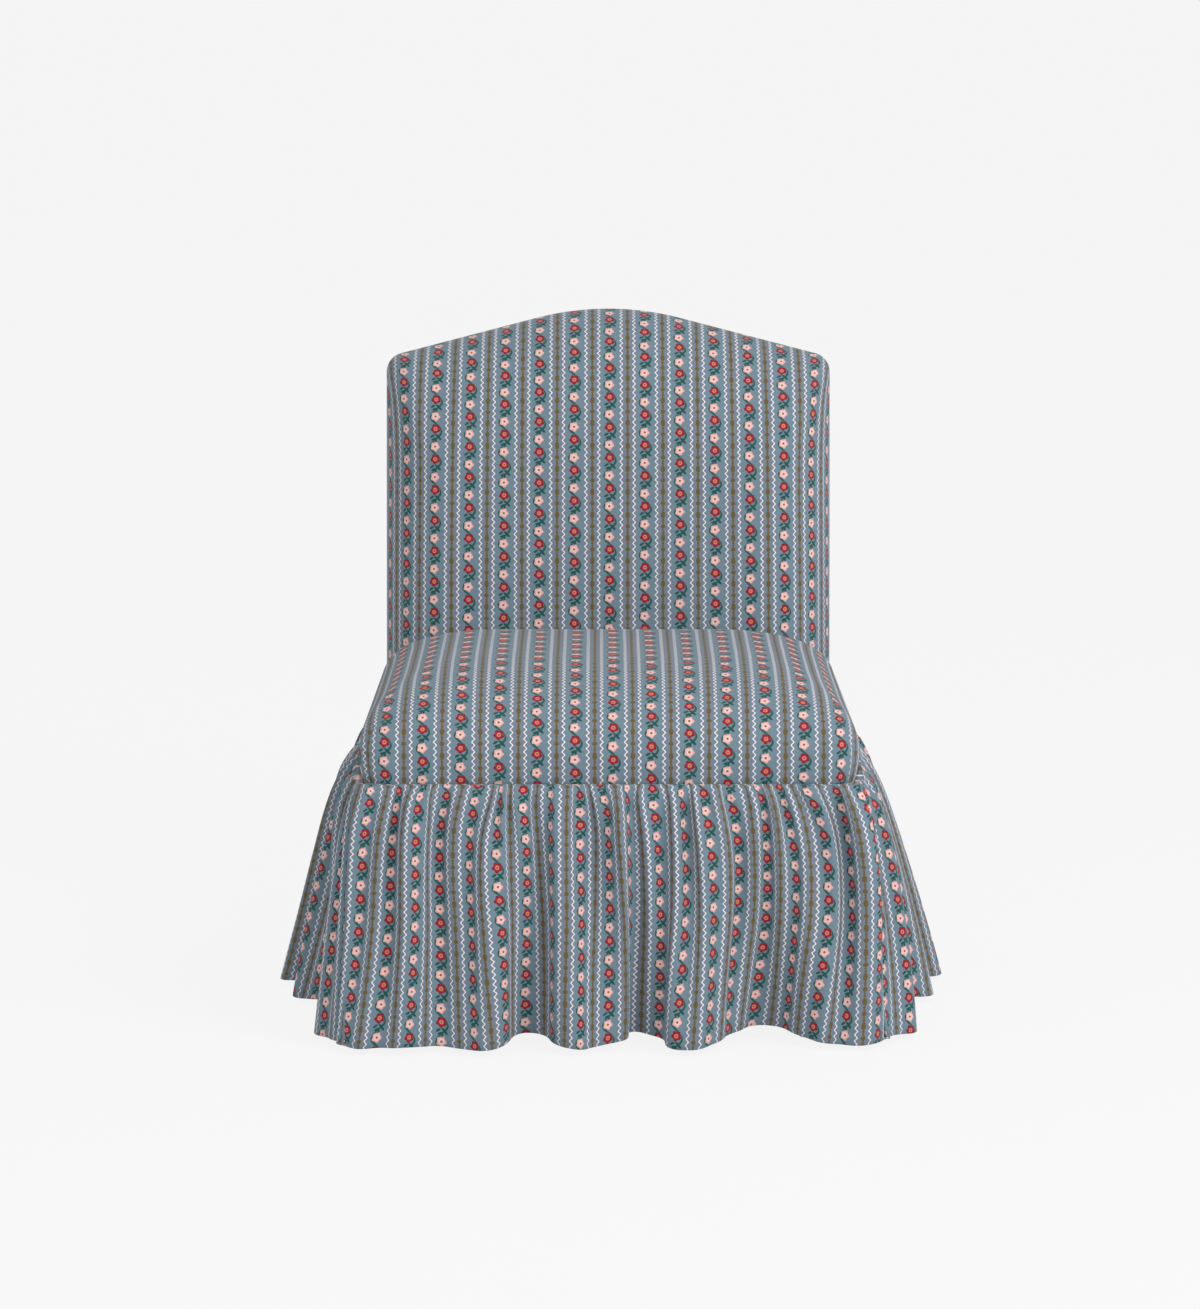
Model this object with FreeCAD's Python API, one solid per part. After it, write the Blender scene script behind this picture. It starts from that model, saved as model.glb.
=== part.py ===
# Slipper chair with a tight crowned seat, a padded arched back and a gathered skirt.
# Millimetres. X is to the right of someone facing the chair, Y runs from its front to its back, Z is up.
# The origin is on the floor, under the middle of the skirt's hem.
import FreeCAD
import Part

import math
import os

V = FreeCAD.Vector

# Heights above the floor
glide_height = 6.0
seam_height = 320.0
seat_widest = 358.0
seat_height = 448.0
overall_height = 835.0
hem_height = 8.0

# Seat pad, over its cover
seat_front = -310.0
seat_front_half = 301.0
seat_rear_half = 293.0
seat_corner = 38.0
seat_rear_corner = 24.0
seat_corner_swell = 34.0
seat_draw_in = 6.0
seat_front_roll = 185.0
seat_side_roll = 150.0
seat_rear_roll = 185.0
seat_rear_gap = 12.0
seat_pull_down = 58.0
seat_roll_angles = (0, 22, 44, 62, 76, 87)

# Back pad, over its cover, in its own reclined plane
back_rear = 290.0
back_recline = 8.0
back_thickness = 140.0
back_half = 289.5
back_edge = 35.0
back_top_roll = 185.0
back_side_roll = 100.0
shoulder_slope = 14.6
shoulder_radius = 25.0
arch_radius = 370.0
back_roll_angles = (0, 18, 36, 54, 72, 90)

# Layers
cover_thickness = 2.0
wadding_thickness = 9.6
layer_gap = 0.3
webbing_thickness = 1.6
webbing_width = 50.0
webbing_ramp = 14.0
deck_thickness = 6.0

# Webbing layout
seat_straps_long = 5
seat_straps_cross = 5
seat_strap_pitch = 98.0
seat_cross_pitch = 96.0
seat_cross_middle = -24.0
back_straps_up = 4
back_straps_cross = 4
back_strap_pitch = 104.0
back_cross_pitch = 84.0
back_cross_middle = 222.0

# Hardwood frame
frame_rear = 287.0
rail_height = 112.0
rail_thickness = 24.0
post_width = 32.0
post_depth = 36.0
post_foot = 28.0
post_rake = 14.0
crest_depth = 100.0
tack_rail_height = 46.0
tack_rail_rise = 14.0
block_leg = 92.0
block_height = 45.0
dowel_diameter = 10.0
dowel_length = 40.0
dowel_spread = 56.0
dowel_in_front_rail = 14.0
dowel_from_face = 15.0
fit_clearance = 0.15

# Front legs and their fixings
leg_top = 48.0
leg_foot = 30.0
leg_inset = 50.0
bolt_diameter = 8.0
bolt_in_leg = 42.0
bolt_in_block = 40.0
nut_flange = 22.0
nut_flange_thickness = 2.0
nut_barrel = 11.0
nut_barrel_length = 12.0
glide_diameter = 24.0
glide_pin_diameter = 3.0
glide_pin_length = 20.0
glide_edge = 1.5

# Gathered skirt
tape_thickness = 2.2
tape_height = 20.0
skirt_thickness = 2.4
gather_depth = 1.6
hem_front_left = -360.0
hem_front_right = -330.0
hem_rear = 347.5
hem_front_half = 350.0
hem_rear_half = 376.0
hem_bow = 28.0
hem_side_bow = 58.0
hem_side_lean = 1.4
hem_fold_depth = 29.0
fold_growth = 0.8
fold_rounding = 0.42
puff = 0.45
puff_drop = 30.0
front_folds = (0.27, 0.45, 0.61, 0.84)
side_folds = (0.24, 0.4, 0.56, 0.78)
rear_folds = (0.22, 0.41, 0.6, 0.79)
skirt_levels = (0.0, 24.0, 70.0, 170.0)

# Dust cover
dust_cover_thickness = 1.0
dust_cover_margin = 4.0

# Worked out from the sizes above
tilt = math.radians(back_recline)
back_length = (overall_height - seam_height - back_edge * math.sin(tilt)) / math.cos(tilt)
frame_inset = seat_draw_in + cover_thickness + layer_gap
frame_front = seat_front + frame_inset
rail_top = seam_height - 2 * layer_gap - deck_thickness - 2 * (webbing_thickness + layer_gap)
rail_bottom = rail_top - rail_height
wadding_inset = cover_thickness + layer_gap
foam_inset = wadding_inset + wadding_thickness + layer_gap
post_half = back_half - foam_inset
post_rear_u = wadding_inset + layer_gap
post_front_u = post_rear_u + post_depth
foam_rear_u = post_front_u + 2 * (webbing_thickness + layer_gap) + layer_gap
crest_base = back_length - crest_depth
post_front_y = frame_rear - post_depth
seat_rear = back_rear - back_edge - seat_rear_gap
tape_inset = seat_draw_in - layer_gap - tape_thickness
skirt_inset = tape_inset - layer_gap - skirt_thickness - gather_depth
skirt_top = seam_height - layer_gap

parts = {}
wood = {}


def keep(name, *shapes):
    for shape in shapes:
        parts.setdefault(name, []).extend(shape.Solids)


# Drawing helpers


def corner_arc(before, corner, after, radius):
    # Where a fillet starts, passes through and ends. Without a radius it fills what room there is.
    ax, ay = before[0] - corner[0], before[1] - corner[1]
    bx, by = after[0] - corner[0], after[1] - corner[1]
    la, lb = math.hypot(ax, ay), math.hypot(bx, by)
    ax, ay, bx, by = ax / la, ay / la, bx / lb, by / lb
    half = math.acos(max(-1.0, min(1.0, ax * bx + ay * by))) / 2
    reach = fold_rounding * min(la, lb) if radius is None else radius / math.tan(half)
    far = reach / math.cos(half) - reach * math.tan(half)
    mx, my = ax + bx, ay + by
    lm = math.hypot(mx, my)
    first = (corner[0] + ax * reach, corner[1] + ay * reach)
    middle = (corner[0] + mx / lm * far, corner[1] + my / lm * far)
    last = (corner[0] + bx * reach, corner[1] + by * reach)
    return first, middle, last


def rounded_loop(corners, radii, place):
    # A closed outline of lines and tangent arcs. place turns two flat coordinates into a point in space.
    count = len(corners)
    pieces = []
    for i, (corner, radius) in enumerate(zip(corners, radii)):
        if radius == 0:
            pieces.append((corner, None, corner))
        else:
            pieces.append(corner_arc(corners[i - 1], corner, corners[(i + 1) % count], radius))
    edges = []
    for i, (first, middle, last) in enumerate(pieces):
        if middle:
            edges.append(Part.Arc(place(*first), place(*middle), place(*last)).toShape())
        following = pieces[(i + 1) % count][0]
        edges.append(Part.LineSegment(place(*last), place(*following)).toShape())
    return Part.Wire(edges)


def at_height(z):
    return lambda x, y: V(x, y, z)


def across(x):
    return lambda y, z: V(x, y, z)


def prism(corners, z_low, z_high, radius=0):
    wire = rounded_loop(corners, [radius] * len(corners), at_height(z_low))
    return Part.Face(wire).extrude(V(0, 0, z_high - z_low))


def rod(centre, axis, diameter, length):
    return Part.makeCylinder(diameter / 2, length, centre - axis * (length / 2), axis)


def seat_side(y):
    # Half the seat's width at any Y, narrowing evenly from its front to the back's rear.
    share = (y - seat_front) / (back_rear - seat_front)
    return seat_front_half + (seat_rear_half - seat_front_half) * share


def frame_side(y):
    return seat_side(y) - frame_inset


def base_plan(inset, z, radius):
    # The seam line in plan, moved inwards from the pads' outline.
    front, rear = seat_front + inset, frame_rear + frame_inset - inset
    corners = [
        (-seat_side(front) + inset, front),
        (seat_side(front) - inset, front),
        (seat_side(rear) - inset, rear),
        (-seat_side(rear) + inset, rear),
    ]
    return rounded_loop(corners, [radius] * 4, at_height(z))


def base_slab(inset, z_low, z_high, radius):
    return Part.Face(base_plan(inset, z_low, radius)).extrude(V(0, 0, z_high - z_low))


def base_band(outer, thickness, z_low, z_high):
    # A strip of cloth or tape round the chair just under the seam.
    outside = base_slab(outer, z_low, z_high, seat_corner - outer)
    return outside.cut(base_slab(outer + thickness, z_low, z_high, seat_corner - outer - thickness))


# The reclined plane of the back: u runs forwards from the back's rear face, w runs up it.


def on_back(x, u, w):
    return V(
        x,
        back_rear - u * math.cos(tilt) + w * math.sin(tilt),
        seam_height + u * math.sin(tilt) + w * math.cos(tilt),
    )


up_back = V(0, math.sin(tilt), math.cos(tilt))
out_of_back = V(0, -math.cos(tilt), math.sin(tilt))


def back_outline(half, length, shoulder, arch, u):
    # Straight sides, sloping shoulders and a rounded middle.
    slope = math.radians(shoulder_slope)
    apex = length + arch * (1 / math.cos(slope) - 1)
    hip = apex - half * math.tan(slope)
    foot = -back_thickness
    corners = [(-half, foot), (half, foot), (half, hip), (0, apex), (-half, hip)]
    return rounded_loop(corners, [0, 0, shoulder, arch, shoulder], lambda x, w: on_back(x, u, w))


def back_slab(inset, u_low, u_high):
    wire = back_outline(
        back_half - inset, back_length - inset, shoulder_radius - inset / 2, arch_radius - inset, u_low)
    return Part.Face(wire).extrude(out_of_back * (u_high - u_low))


def back_roll(inset):
    # The front of the back, which rolls over at the top and the sides.
    depth = back_thickness - inset - back_edge
    wires = []
    for degrees in back_roll_angles:
        angle = math.radians(degrees)
        share = 1 - math.cos(angle)
        wires.append(back_outline(
            back_half - inset - (back_side_roll - inset) * share,
            back_length - inset - (back_top_roll - inset) * share,
            shoulder_radius - inset / 2 + back_side_roll * share / 2,
            arch_radius - inset,
            back_edge + depth * math.sin(angle),
        ))
    return Part.makeLoft(wires, True, True)


def above(shape, z):
    size = 4 * overall_height
    return shape.common(Part.makeBox(size, size, size, V(-size / 2, -size / 2, z)))


def back_pad(inset, u_low):
    return above(back_roll(inset).fuse(back_slab(inset, u_low, back_edge)), seam_height)


def seat_section(inset, z):
    # One level outline of the seat pad, which rolls over to its crown.
    crown = seat_height - inset
    rise = max(0.0, (z - seat_widest) / (crown - seat_widest))
    share = 1 - math.sqrt(max(0.0, 1 - rise ** 2))
    below = min(1.0, max(0.0, (seat_widest - z) / (seat_widest - seam_height)))
    tuck = inset + seat_draw_in * below ** 2
    front = seat_front + tuck + (seat_front_roll - inset) * share
    rear = seat_rear - inset - (seat_rear_roll - inset) * share
    sides = tuck + (seat_side_roll - inset) * share
    corners = [
        (-seat_side(front) + sides, front),
        (seat_side(front) - sides, front),
        (seat_side(rear) - sides, rear),
        (-seat_side(rear) + sides, rear),
    ]
    swell = seat_corner_swell * math.sin(math.pi * share)
    front_radius = seat_corner - inset / 2 + swell
    rear_radius = seat_rear_corner + swell
    return rounded_loop(corners, [front_radius] * 2 + [rear_radius] * 2, at_height(z))


def seat_pad(inset, z_low):
    # The pad's rear is hollowed to go round the rolled face of the back.
    levels = [z_low]
    for degrees in seat_roll_angles:
        rise = math.sin(math.radians(degrees))
        levels.append(seat_widest + (seat_height - inset - seat_widest) * rise)
    pad = Part.makeLoft([seat_section(inset, z) for z in levels], True, True)
    return pad.cut(back_pad(-layer_gap - inset, 0.0))


# Upholstery of the seat


def upholster_seat():
    cover = seat_pad(0.0, seam_height).cut(seat_pad(cover_thickness, seam_height))
    pull_down = base_band(seat_draw_in, cover_thickness, seam_height - seat_pull_down, seam_height)
    keep("seat_cover", cover.fuse(pull_down))
    wadding = seat_pad(wadding_inset, seam_height)
    keep("seat_wadding", wadding.cut(seat_pad(foam_inset - layer_gap, seam_height)))
    keep("seat_foam", seat_pad(foam_inset, seam_height + layer_gap))
    deck_top = seam_height - layer_gap
    deck = base_slab(frame_inset, deck_top - deck_thickness, deck_top, seat_corner - frame_inset)
    corner = V(-2 * back_half, post_front_y - layer_gap, deck_top - back_half / 2)
    behind = Part.makeBox(4 * back_half, back_half, back_half, corner)
    keep("seat_deck_pad", deck.cut(behind))


# Upholstery of the back


def upholster_back():
    keep("back_cover", back_pad(0.0, 0.0).cut(back_pad(cover_thickness, -back_edge)))
    wadding = back_pad(wadding_inset, wadding_inset)
    keep("back_wadding", wadding.cut(back_pad(foam_inset - layer_gap, -back_edge)))
    front = back_slab(-back_edge, foam_rear_u, back_thickness)
    keep("back_foam", back_pad(foam_inset, 0.0).common(front))
    panel = back_slab(wadding_inset, 0.0, cover_thickness)
    keep("outside_back_panel", above(panel, seam_height))


# Interlaced webbing


def strap(place, start, end, middle, crossings, starts_over):
    # One strap lies along s at t = middle and steps over every second strap that crosses it.
    step = webbing_thickness + layer_gap
    reach = webbing_width / 2 + layer_gap
    low = [(start, 0.0)]
    for i, s in enumerate(crossings):
        if i % 2 == starts_over:
            low += [(s - reach - webbing_ramp, 0.0), (s - reach, step)]
            low += [(s + reach, step), (s + reach + webbing_ramp, 0.0)]
    low.append((end, 0.0))
    high = [(s, h + webbing_thickness) for s, h in reversed(low)]
    side = middle - webbing_width / 2
    wire = Part.makePolygon([place(s, side, h) for s, h in low + high + low[:1]])
    return Part.Face(wire).extrude(place(0, side + webbing_width, 0) - place(0, side, 0))


def evenly(count, pitch, middle):
    return [middle + (i - (count - 1) / 2) * pitch for i in range(count)]


def weave(name, along, cross, long_rows, cross_rows, long_ends, cross_ends):
    for i, t in enumerate(long_rows):
        keep(name, strap(along, *long_ends, t, cross_rows, i % 2))
    for i, t in enumerate(cross_rows):
        keep(name, strap(cross, *cross_ends, t, long_rows, (i + 1) % 2))


def stretch_webbing():
    seat_long = evenly(seat_straps_long, seat_strap_pitch, 0.0)
    seat_cross = evenly(seat_straps_cross, seat_cross_pitch, seat_cross_middle)
    half = frame_side(frame_rear) - rail_thickness / 2
    base = rail_top + layer_gap
    weave(
        "seat_webbing",
        lambda s, t, h: V(t, s, base + h),
        lambda s, t, h: V(s, t, base + h),
        seat_long, seat_cross,
        (frame_front + rail_thickness / 4, frame_rear - rail_thickness / 4),
        (-half, half),
    )
    back_long = evenly(back_straps_up, back_strap_pitch, 0.0)
    back_cross = evenly(back_straps_cross, back_cross_pitch, back_cross_middle)
    front = post_front_u + layer_gap
    reach = post_half - post_width / 4
    weave(
        "back_webbing",
        lambda s, t, h: on_back(t, front + h, s),
        lambda s, t, h: on_back(s, front + h, t),
        back_long, back_cross,
        (tack_rail_rise + tack_rail_height / 4, crest_base + crest_depth / 5),
        (-reach, reach),
    )


# Wooden frame


def dowel(centre, axis, *joined):
    keep("frame_dowels", rod(centre, axis, dowel_diameter, dowel_length))
    bore = rod(centre, axis, dowel_diameter + 2 * fit_clearance, dowel_length + 4 * fit_clearance)
    for name in joined:
        wood[name] = wood[name].cut(bore)


def mirrored(shape):
    return shape.mirror(V(0, 0, 0), V(1, 0, 0))


def frame_seat():
    front, inner_front = frame_front, frame_front + rail_thickness
    outline = base_slab(frame_inset, rail_bottom, rail_top, seat_corner - frame_inset)
    strip = Part.makeBox(4 * back_half, rail_thickness, rail_height, V(-2 * back_half, front, rail_bottom))
    wood["seat_rail_front"] = outline.common(strip)
    side = [
        (frame_side(inner_front), inner_front),
        (frame_side(post_front_y), post_front_y),
        (frame_side(post_front_y) - rail_thickness, post_front_y),
        (frame_side(inner_front) - rail_thickness, inner_front),
    ]
    wood["seat_rail_right"] = prism(side, rail_bottom, rail_top)
    wood["seat_rail_left"] = mirrored(wood["seat_rail_right"])
    reach = post_half - post_width
    rear = V(-reach, frame_rear - rail_thickness, rail_bottom)
    wood["seat_rail_rear"] = Part.makeBox(2 * reach, rail_thickness, rail_height, rear)


def raise_posts():
    # Each post is one board from the floor to the crest: raked foot, upright rail zone, reclined upper part.
    def where_upright(u, y):
        w = (y - back_rear + u * math.cos(tilt)) / math.sin(tilt)
        return (y, on_back(0, u, w).z)

    def at_crest(u):
        point = on_back(0, u, crest_base)
        return (point.y, point.z)

    foot_rear = frame_rear + post_rake
    profile = [
        (foot_rear - post_foot, glide_height),
        (foot_rear, glide_height),
        (frame_rear, rail_bottom),
        where_upright(post_rear_u, frame_rear),
        at_crest(post_rear_u),
        at_crest(post_front_u),
        where_upright(post_front_u, post_front_y + 2 * layer_gap),
        (post_front_y, rail_top),
        (post_front_y, rail_bottom),
    ]
    wire = rounded_loop(profile, [0] * len(profile), across(post_half - post_width))
    wood["back_post_right"] = Part.Face(wire).extrude(V(post_width, 0, 0))
    wood["back_post_left"] = mirrored(wood["back_post_right"])


def frame_back():
    reach = post_half - post_width
    corners = [(-reach, 0), (reach, 0), (reach, tack_rail_height), (-reach, tack_rail_height)]
    low = rounded_loop(corners, [0] * 4, lambda x, w: on_back(x, post_rear_u, tack_rail_rise + w))
    wood["back_tack_rail"] = Part.Face(low).extrude(out_of_back * post_depth)
    crest = back_slab(foam_inset, post_rear_u, post_front_u)
    size = 4 * back_half
    corner = on_back(-size / 2, 0, crest_base)
    lower = Part.makeBox(size, size, size, V(-size / 2, -size / 2, -size))
    lower.rotate(V(0, 0, 0), V(1, 0, 0), -back_recline)
    lower.translate(V(0, corner.y, corner.z))
    wood["back_crest_rail"] = crest.cut(lower)


def join_frame():
    x_axis, y_axis = V(1, 0, 0), V(0, 1, 0)
    rail_middle = (rail_bottom + rail_top) / 2
    front_y = frame_front + rail_thickness
    tack = on_back(0, post_rear_u + post_depth / 2, tack_rail_rise + tack_rail_height / 2)
    for hand, sign in (("left", -1), ("right", 1)):
        rail, post = "seat_rail_" + hand, "back_post_" + hand
        for z in (rail_middle - dowel_spread / 2, rail_middle + dowel_spread / 2):
            x = sign * (frame_side(front_y) - dowel_from_face)
            y = front_y + dowel_length / 2 - dowel_in_front_rail
            dowel(V(x, y, z), y_axis, "seat_rail_front", rail)
            x = sign * (post_half + frame_side(post_front_y) - rail_thickness) / 2
            dowel(V(x, post_front_y, z), y_axis, rail, post)
            x = sign * (post_half - post_width)
            dowel(V(x, frame_rear - rail_thickness / 2, z + dowel_diameter), x_axis, "seat_rail_rear", post)
        dowel(V(x, tack.y, tack.z), x_axis, "back_tack_rail", post)
        crest = on_back(sign * (post_half - post_width / 2), post_rear_u + post_depth / 2, crest_base)
        dowel(crest, up_back, "back_crest_rail", post)


# Front legs, corner blocks and glides


def glide(x, y):
    radius = glide_diameter / 2
    disc = Part.makeCylinder(radius, glide_height - glide_edge, V(x, y, glide_edge))
    disc = disc.fuse(Part.makeCone(radius - glide_edge, radius, glide_edge, V(x, y, 0)))
    pin = Part.makeCylinder(glide_pin_diameter / 2, glide_pin_length, V(x, y, glide_height))
    return disc.fuse(pin)


def glide_hole(x, y):
    diameter = glide_pin_diameter + 2 * fit_clearance
    return Part.makeCylinder(diameter / 2, glide_pin_length + 2 * fit_clearance, V(x, y, glide_height))


def square(x, y, side):
    half = side / 2
    return [(x - half, y - half), (x + half, y - half), (x + half, y + half), (x - half, y + half)]


def stand():
    y = frame_front + leg_inset
    x = frame_side(y) - leg_inset
    foot = rounded_loop(square(x, y, leg_foot), [0] * 4, at_height(glide_height))
    top = rounded_loop(square(x, y, leg_top), [0] * 4, at_height(rail_bottom))
    leg = Part.makeLoft([foot, top], True, True)
    bolt_z = rail_bottom - bolt_in_leg
    bolt_length = bolt_in_leg + bolt_in_block
    bore = Part.makeCylinder(bolt_diameter / 2 + fit_clearance, bolt_length + fit_clearance, V(x, y, bolt_z))
    leg = leg.cut(bore).cut(glide_hole(x, y))
    y_in = frame_front + rail_thickness
    x_in = frame_side(y_in) - rail_thickness
    narrowing = (frame_side(y_in) - frame_side(y_in + block_leg))
    corners = [(x_in, y_in), (x_in - block_leg, y_in), (x_in - narrowing, y_in + block_leg)]
    block = prism(corners, rail_bottom, rail_bottom + block_height)
    seat_z = rail_bottom + block_height
    barrel = nut_barrel / 2
    barrel_z = seat_z - nut_barrel_length
    block = block.cut(bore)
    block = block.cut(Part.makeCylinder(barrel + fit_clearance, nut_barrel_length, V(x, y, barrel_z)))
    nut = Part.makeCylinder(barrel, nut_barrel_length, V(x, y, barrel_z))
    nut = nut.fuse(Part.makeCylinder(nut_flange / 2, nut_flange_thickness, V(x, y, seat_z)))
    nut = nut.cut(Part.makeCylinder(bolt_diameter / 2 + fit_clearance, block_height, V(x, y, barrel_z)))
    bolt = Part.makeCylinder(bolt_diameter / 2, bolt_length, V(x, y, bolt_z))
    for hand, shape in (("right", leg), ("left", mirrored(leg))):
        keep("front_leg_" + hand, shape)
    keep("corner_blocks", block, mirrored(block))
    keep("leg_nuts", nut, mirrored(nut))
    keep("leg_bolts", bolt, mirrored(bolt))
    rear_x = post_half - post_width / 2
    rear_y = frame_rear + post_rake - post_foot / 2
    for sign, hand in ((-1, "left"), (1, "right")):
        post = "back_post_" + hand
        wood[post] = wood[post].cut(glide_hole(sign * rear_x, rear_y))
        keep("leg_glides", glide(sign * x, y), glide(sign * rear_x, rear_y))
    return square(x, y, leg_top + 2 * dust_cover_margin)


def cover_underside(leg_notch):
    z_high = rail_bottom - layer_gap
    z_low = z_high - dust_cover_thickness
    inset = frame_inset + dust_cover_margin
    sheet = base_slab(inset, z_low, z_high, seat_corner - inset)
    notch = prism(leg_notch, z_low - 1, z_high + 1)
    reach = post_half - post_width - dust_cover_margin
    behind = post_front_y - dust_cover_margin
    post_notch = Part.makeBox(back_half, back_half, rail_height, V(reach, behind, z_low - rail_height / 2))
    for cut in (notch, mirrored(notch), post_notch, mirrored(post_notch)):
        sheet = sheet.cut(cut)
    keep("dust_cover", sheet)


# Gathered skirt


def bow_at(share, lean):
    # Fullest halfway at a lean of 1, nearer the end above that, and nearer the start below zero.
    if lean < 0:
        return math.sin(math.pi * (1 - share) ** -lean)
    return math.sin(math.pi * share ** lean)


def fold_side(start, end, folds, bow, lean, depth):
    # From one corner to the next: a hollow before each fold and after the last, on a line that bows outwards.
    along = V(end[0] - start[0], end[1] - start[1], 0)
    outwards = V(along.y, -along.x, 0).normalize()
    marks = [0.0] + list(folds) + [1.0]
    points = []
    for i in range(len(marks) - 1):
        hollow = (marks[i] + marks[i + 1]) / 2
        for share, drop in ((hollow, depth), (marks[i + 1], 0.0)):
            if share < 1.0:
                point = V(start[0], start[1], 0) + along * share
                point += outwards * (bow * bow_at(share, lean) - drop)
                points.append((point.x, point.y))
    return points


def skirt_section(z, inset):
    drop = skirt_top - z
    length = skirt_top - hem_height
    share = puff * (1 - math.exp(-drop / puff_drop)) + (1 - puff) * drop / length
    share /= puff * (1 - math.exp(-length / puff_drop)) + 1 - puff
    depth = gather_depth + (hem_fold_depth - gather_depth) * (drop / length) ** fold_growth

    def mix(top, hem):
        return top + (hem - top) * share

    front_left = mix(seat_front + skirt_inset, hem_front_left) + inset
    front_right = mix(seat_front + skirt_inset, hem_front_right) + inset
    rear = mix(frame_rear + frame_inset - skirt_inset, hem_rear) - inset
    front_half = mix(seat_side(seat_front) - skirt_inset, hem_front_half) - inset
    rear_half = mix(seat_side(frame_rear) - skirt_inset, hem_rear_half) - inset
    corners = [(-front_half, front_left), (front_half, front_right), (rear_half, rear), (-rear_half, rear)]
    left_folds = tuple(1 - fold for fold in reversed(side_folds))
    sides = (front_folds, side_folds, rear_folds, left_folds)
    bows = (hem_bow, hem_side_bow, hem_bow, hem_side_bow)
    leans = (1, hem_side_lean, 1, -hem_side_lean)
    points = []
    for i in range(4):
        points.append(corners[i])
        points += fold_side(corners[i], corners[(i + 1) % 4], sides[i], bows[i] * share, leans[i], depth)
    return rounded_loop(points, [None] * len(points), at_height(z))


def hang_skirt():
    keep("skirt_tape", base_band(tape_inset, tape_thickness, skirt_top - tape_height, skirt_top))
    levels = [skirt_top - drop for drop in skirt_levels] + [hem_height]
    outside = Part.makeLoft([skirt_section(z, 0.0) for z in levels], True, True)
    inside = Part.makeLoft([skirt_section(z, skirt_thickness) for z in levels], True, True)
    keep("skirt", outside.cut(inside))


upholster_seat()
upholster_back()
stretch_webbing()
frame_seat()
raise_posts()
frame_back()
join_frame()
leg_notch = stand()
cover_underside(leg_notch)
hang_skirt()
for name, shape in wood.items():
    keep(name, shape)

os.makedirs("parts", exist_ok=True)
for name, solids in parts.items():
    shape = solids[0] if len(solids) == 1 else Part.makeCompound(solids)
    shape.exportStep("parts/%s.step" % name)
    litres = sum(solid.Volume for solid in solids) / 1e6
    print(name, len(solids), "solids,", "%.3f" % litres, "litres,", "valid:", shape.isValid())
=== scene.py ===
import math
import random

import bmesh
import bpy
import numpy as np
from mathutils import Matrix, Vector


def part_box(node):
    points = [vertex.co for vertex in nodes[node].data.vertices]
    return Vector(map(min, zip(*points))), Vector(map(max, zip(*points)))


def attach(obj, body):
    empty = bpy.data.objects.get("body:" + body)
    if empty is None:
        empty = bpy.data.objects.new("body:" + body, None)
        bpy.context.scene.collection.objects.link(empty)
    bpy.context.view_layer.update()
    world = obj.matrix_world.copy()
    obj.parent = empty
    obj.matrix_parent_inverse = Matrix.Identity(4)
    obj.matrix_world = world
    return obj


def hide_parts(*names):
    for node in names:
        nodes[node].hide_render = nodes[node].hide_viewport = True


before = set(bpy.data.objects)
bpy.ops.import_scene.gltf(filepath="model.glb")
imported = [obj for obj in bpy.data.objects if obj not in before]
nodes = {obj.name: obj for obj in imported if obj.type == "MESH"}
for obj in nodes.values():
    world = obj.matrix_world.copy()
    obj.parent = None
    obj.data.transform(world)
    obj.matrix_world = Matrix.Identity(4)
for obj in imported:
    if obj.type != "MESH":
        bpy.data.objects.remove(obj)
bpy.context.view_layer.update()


def lowHigh(name):
    low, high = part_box(name)
    return Vector(low), Vector(high)


print("stage: frame loaded")

# What the pads share, read from the frame

seatLow, seatHigh = lowHigh("seat_cover")
backLow, backHigh = lowHigh("back_cover")
skirtLow, skirtHigh = lowHigh("skirt")
tapeLow, tapeHigh = lowHigh("skirt_tape")
seamZ = backLow.z

# Colours


def fromSrgb(red, green, blue):
    def one(value):
        value /= 255
        return value / 12.92 if value <= 0.04045 else ((value + 0.055) / 1.055) ** 2.4
    return (one(red), one(green), one(blue), 1.0)


def shaded(color, share):
    return tuple(channel * share for channel in color[:3]) + (1.0,)


# Small helpers that place nodes and wire them


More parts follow.
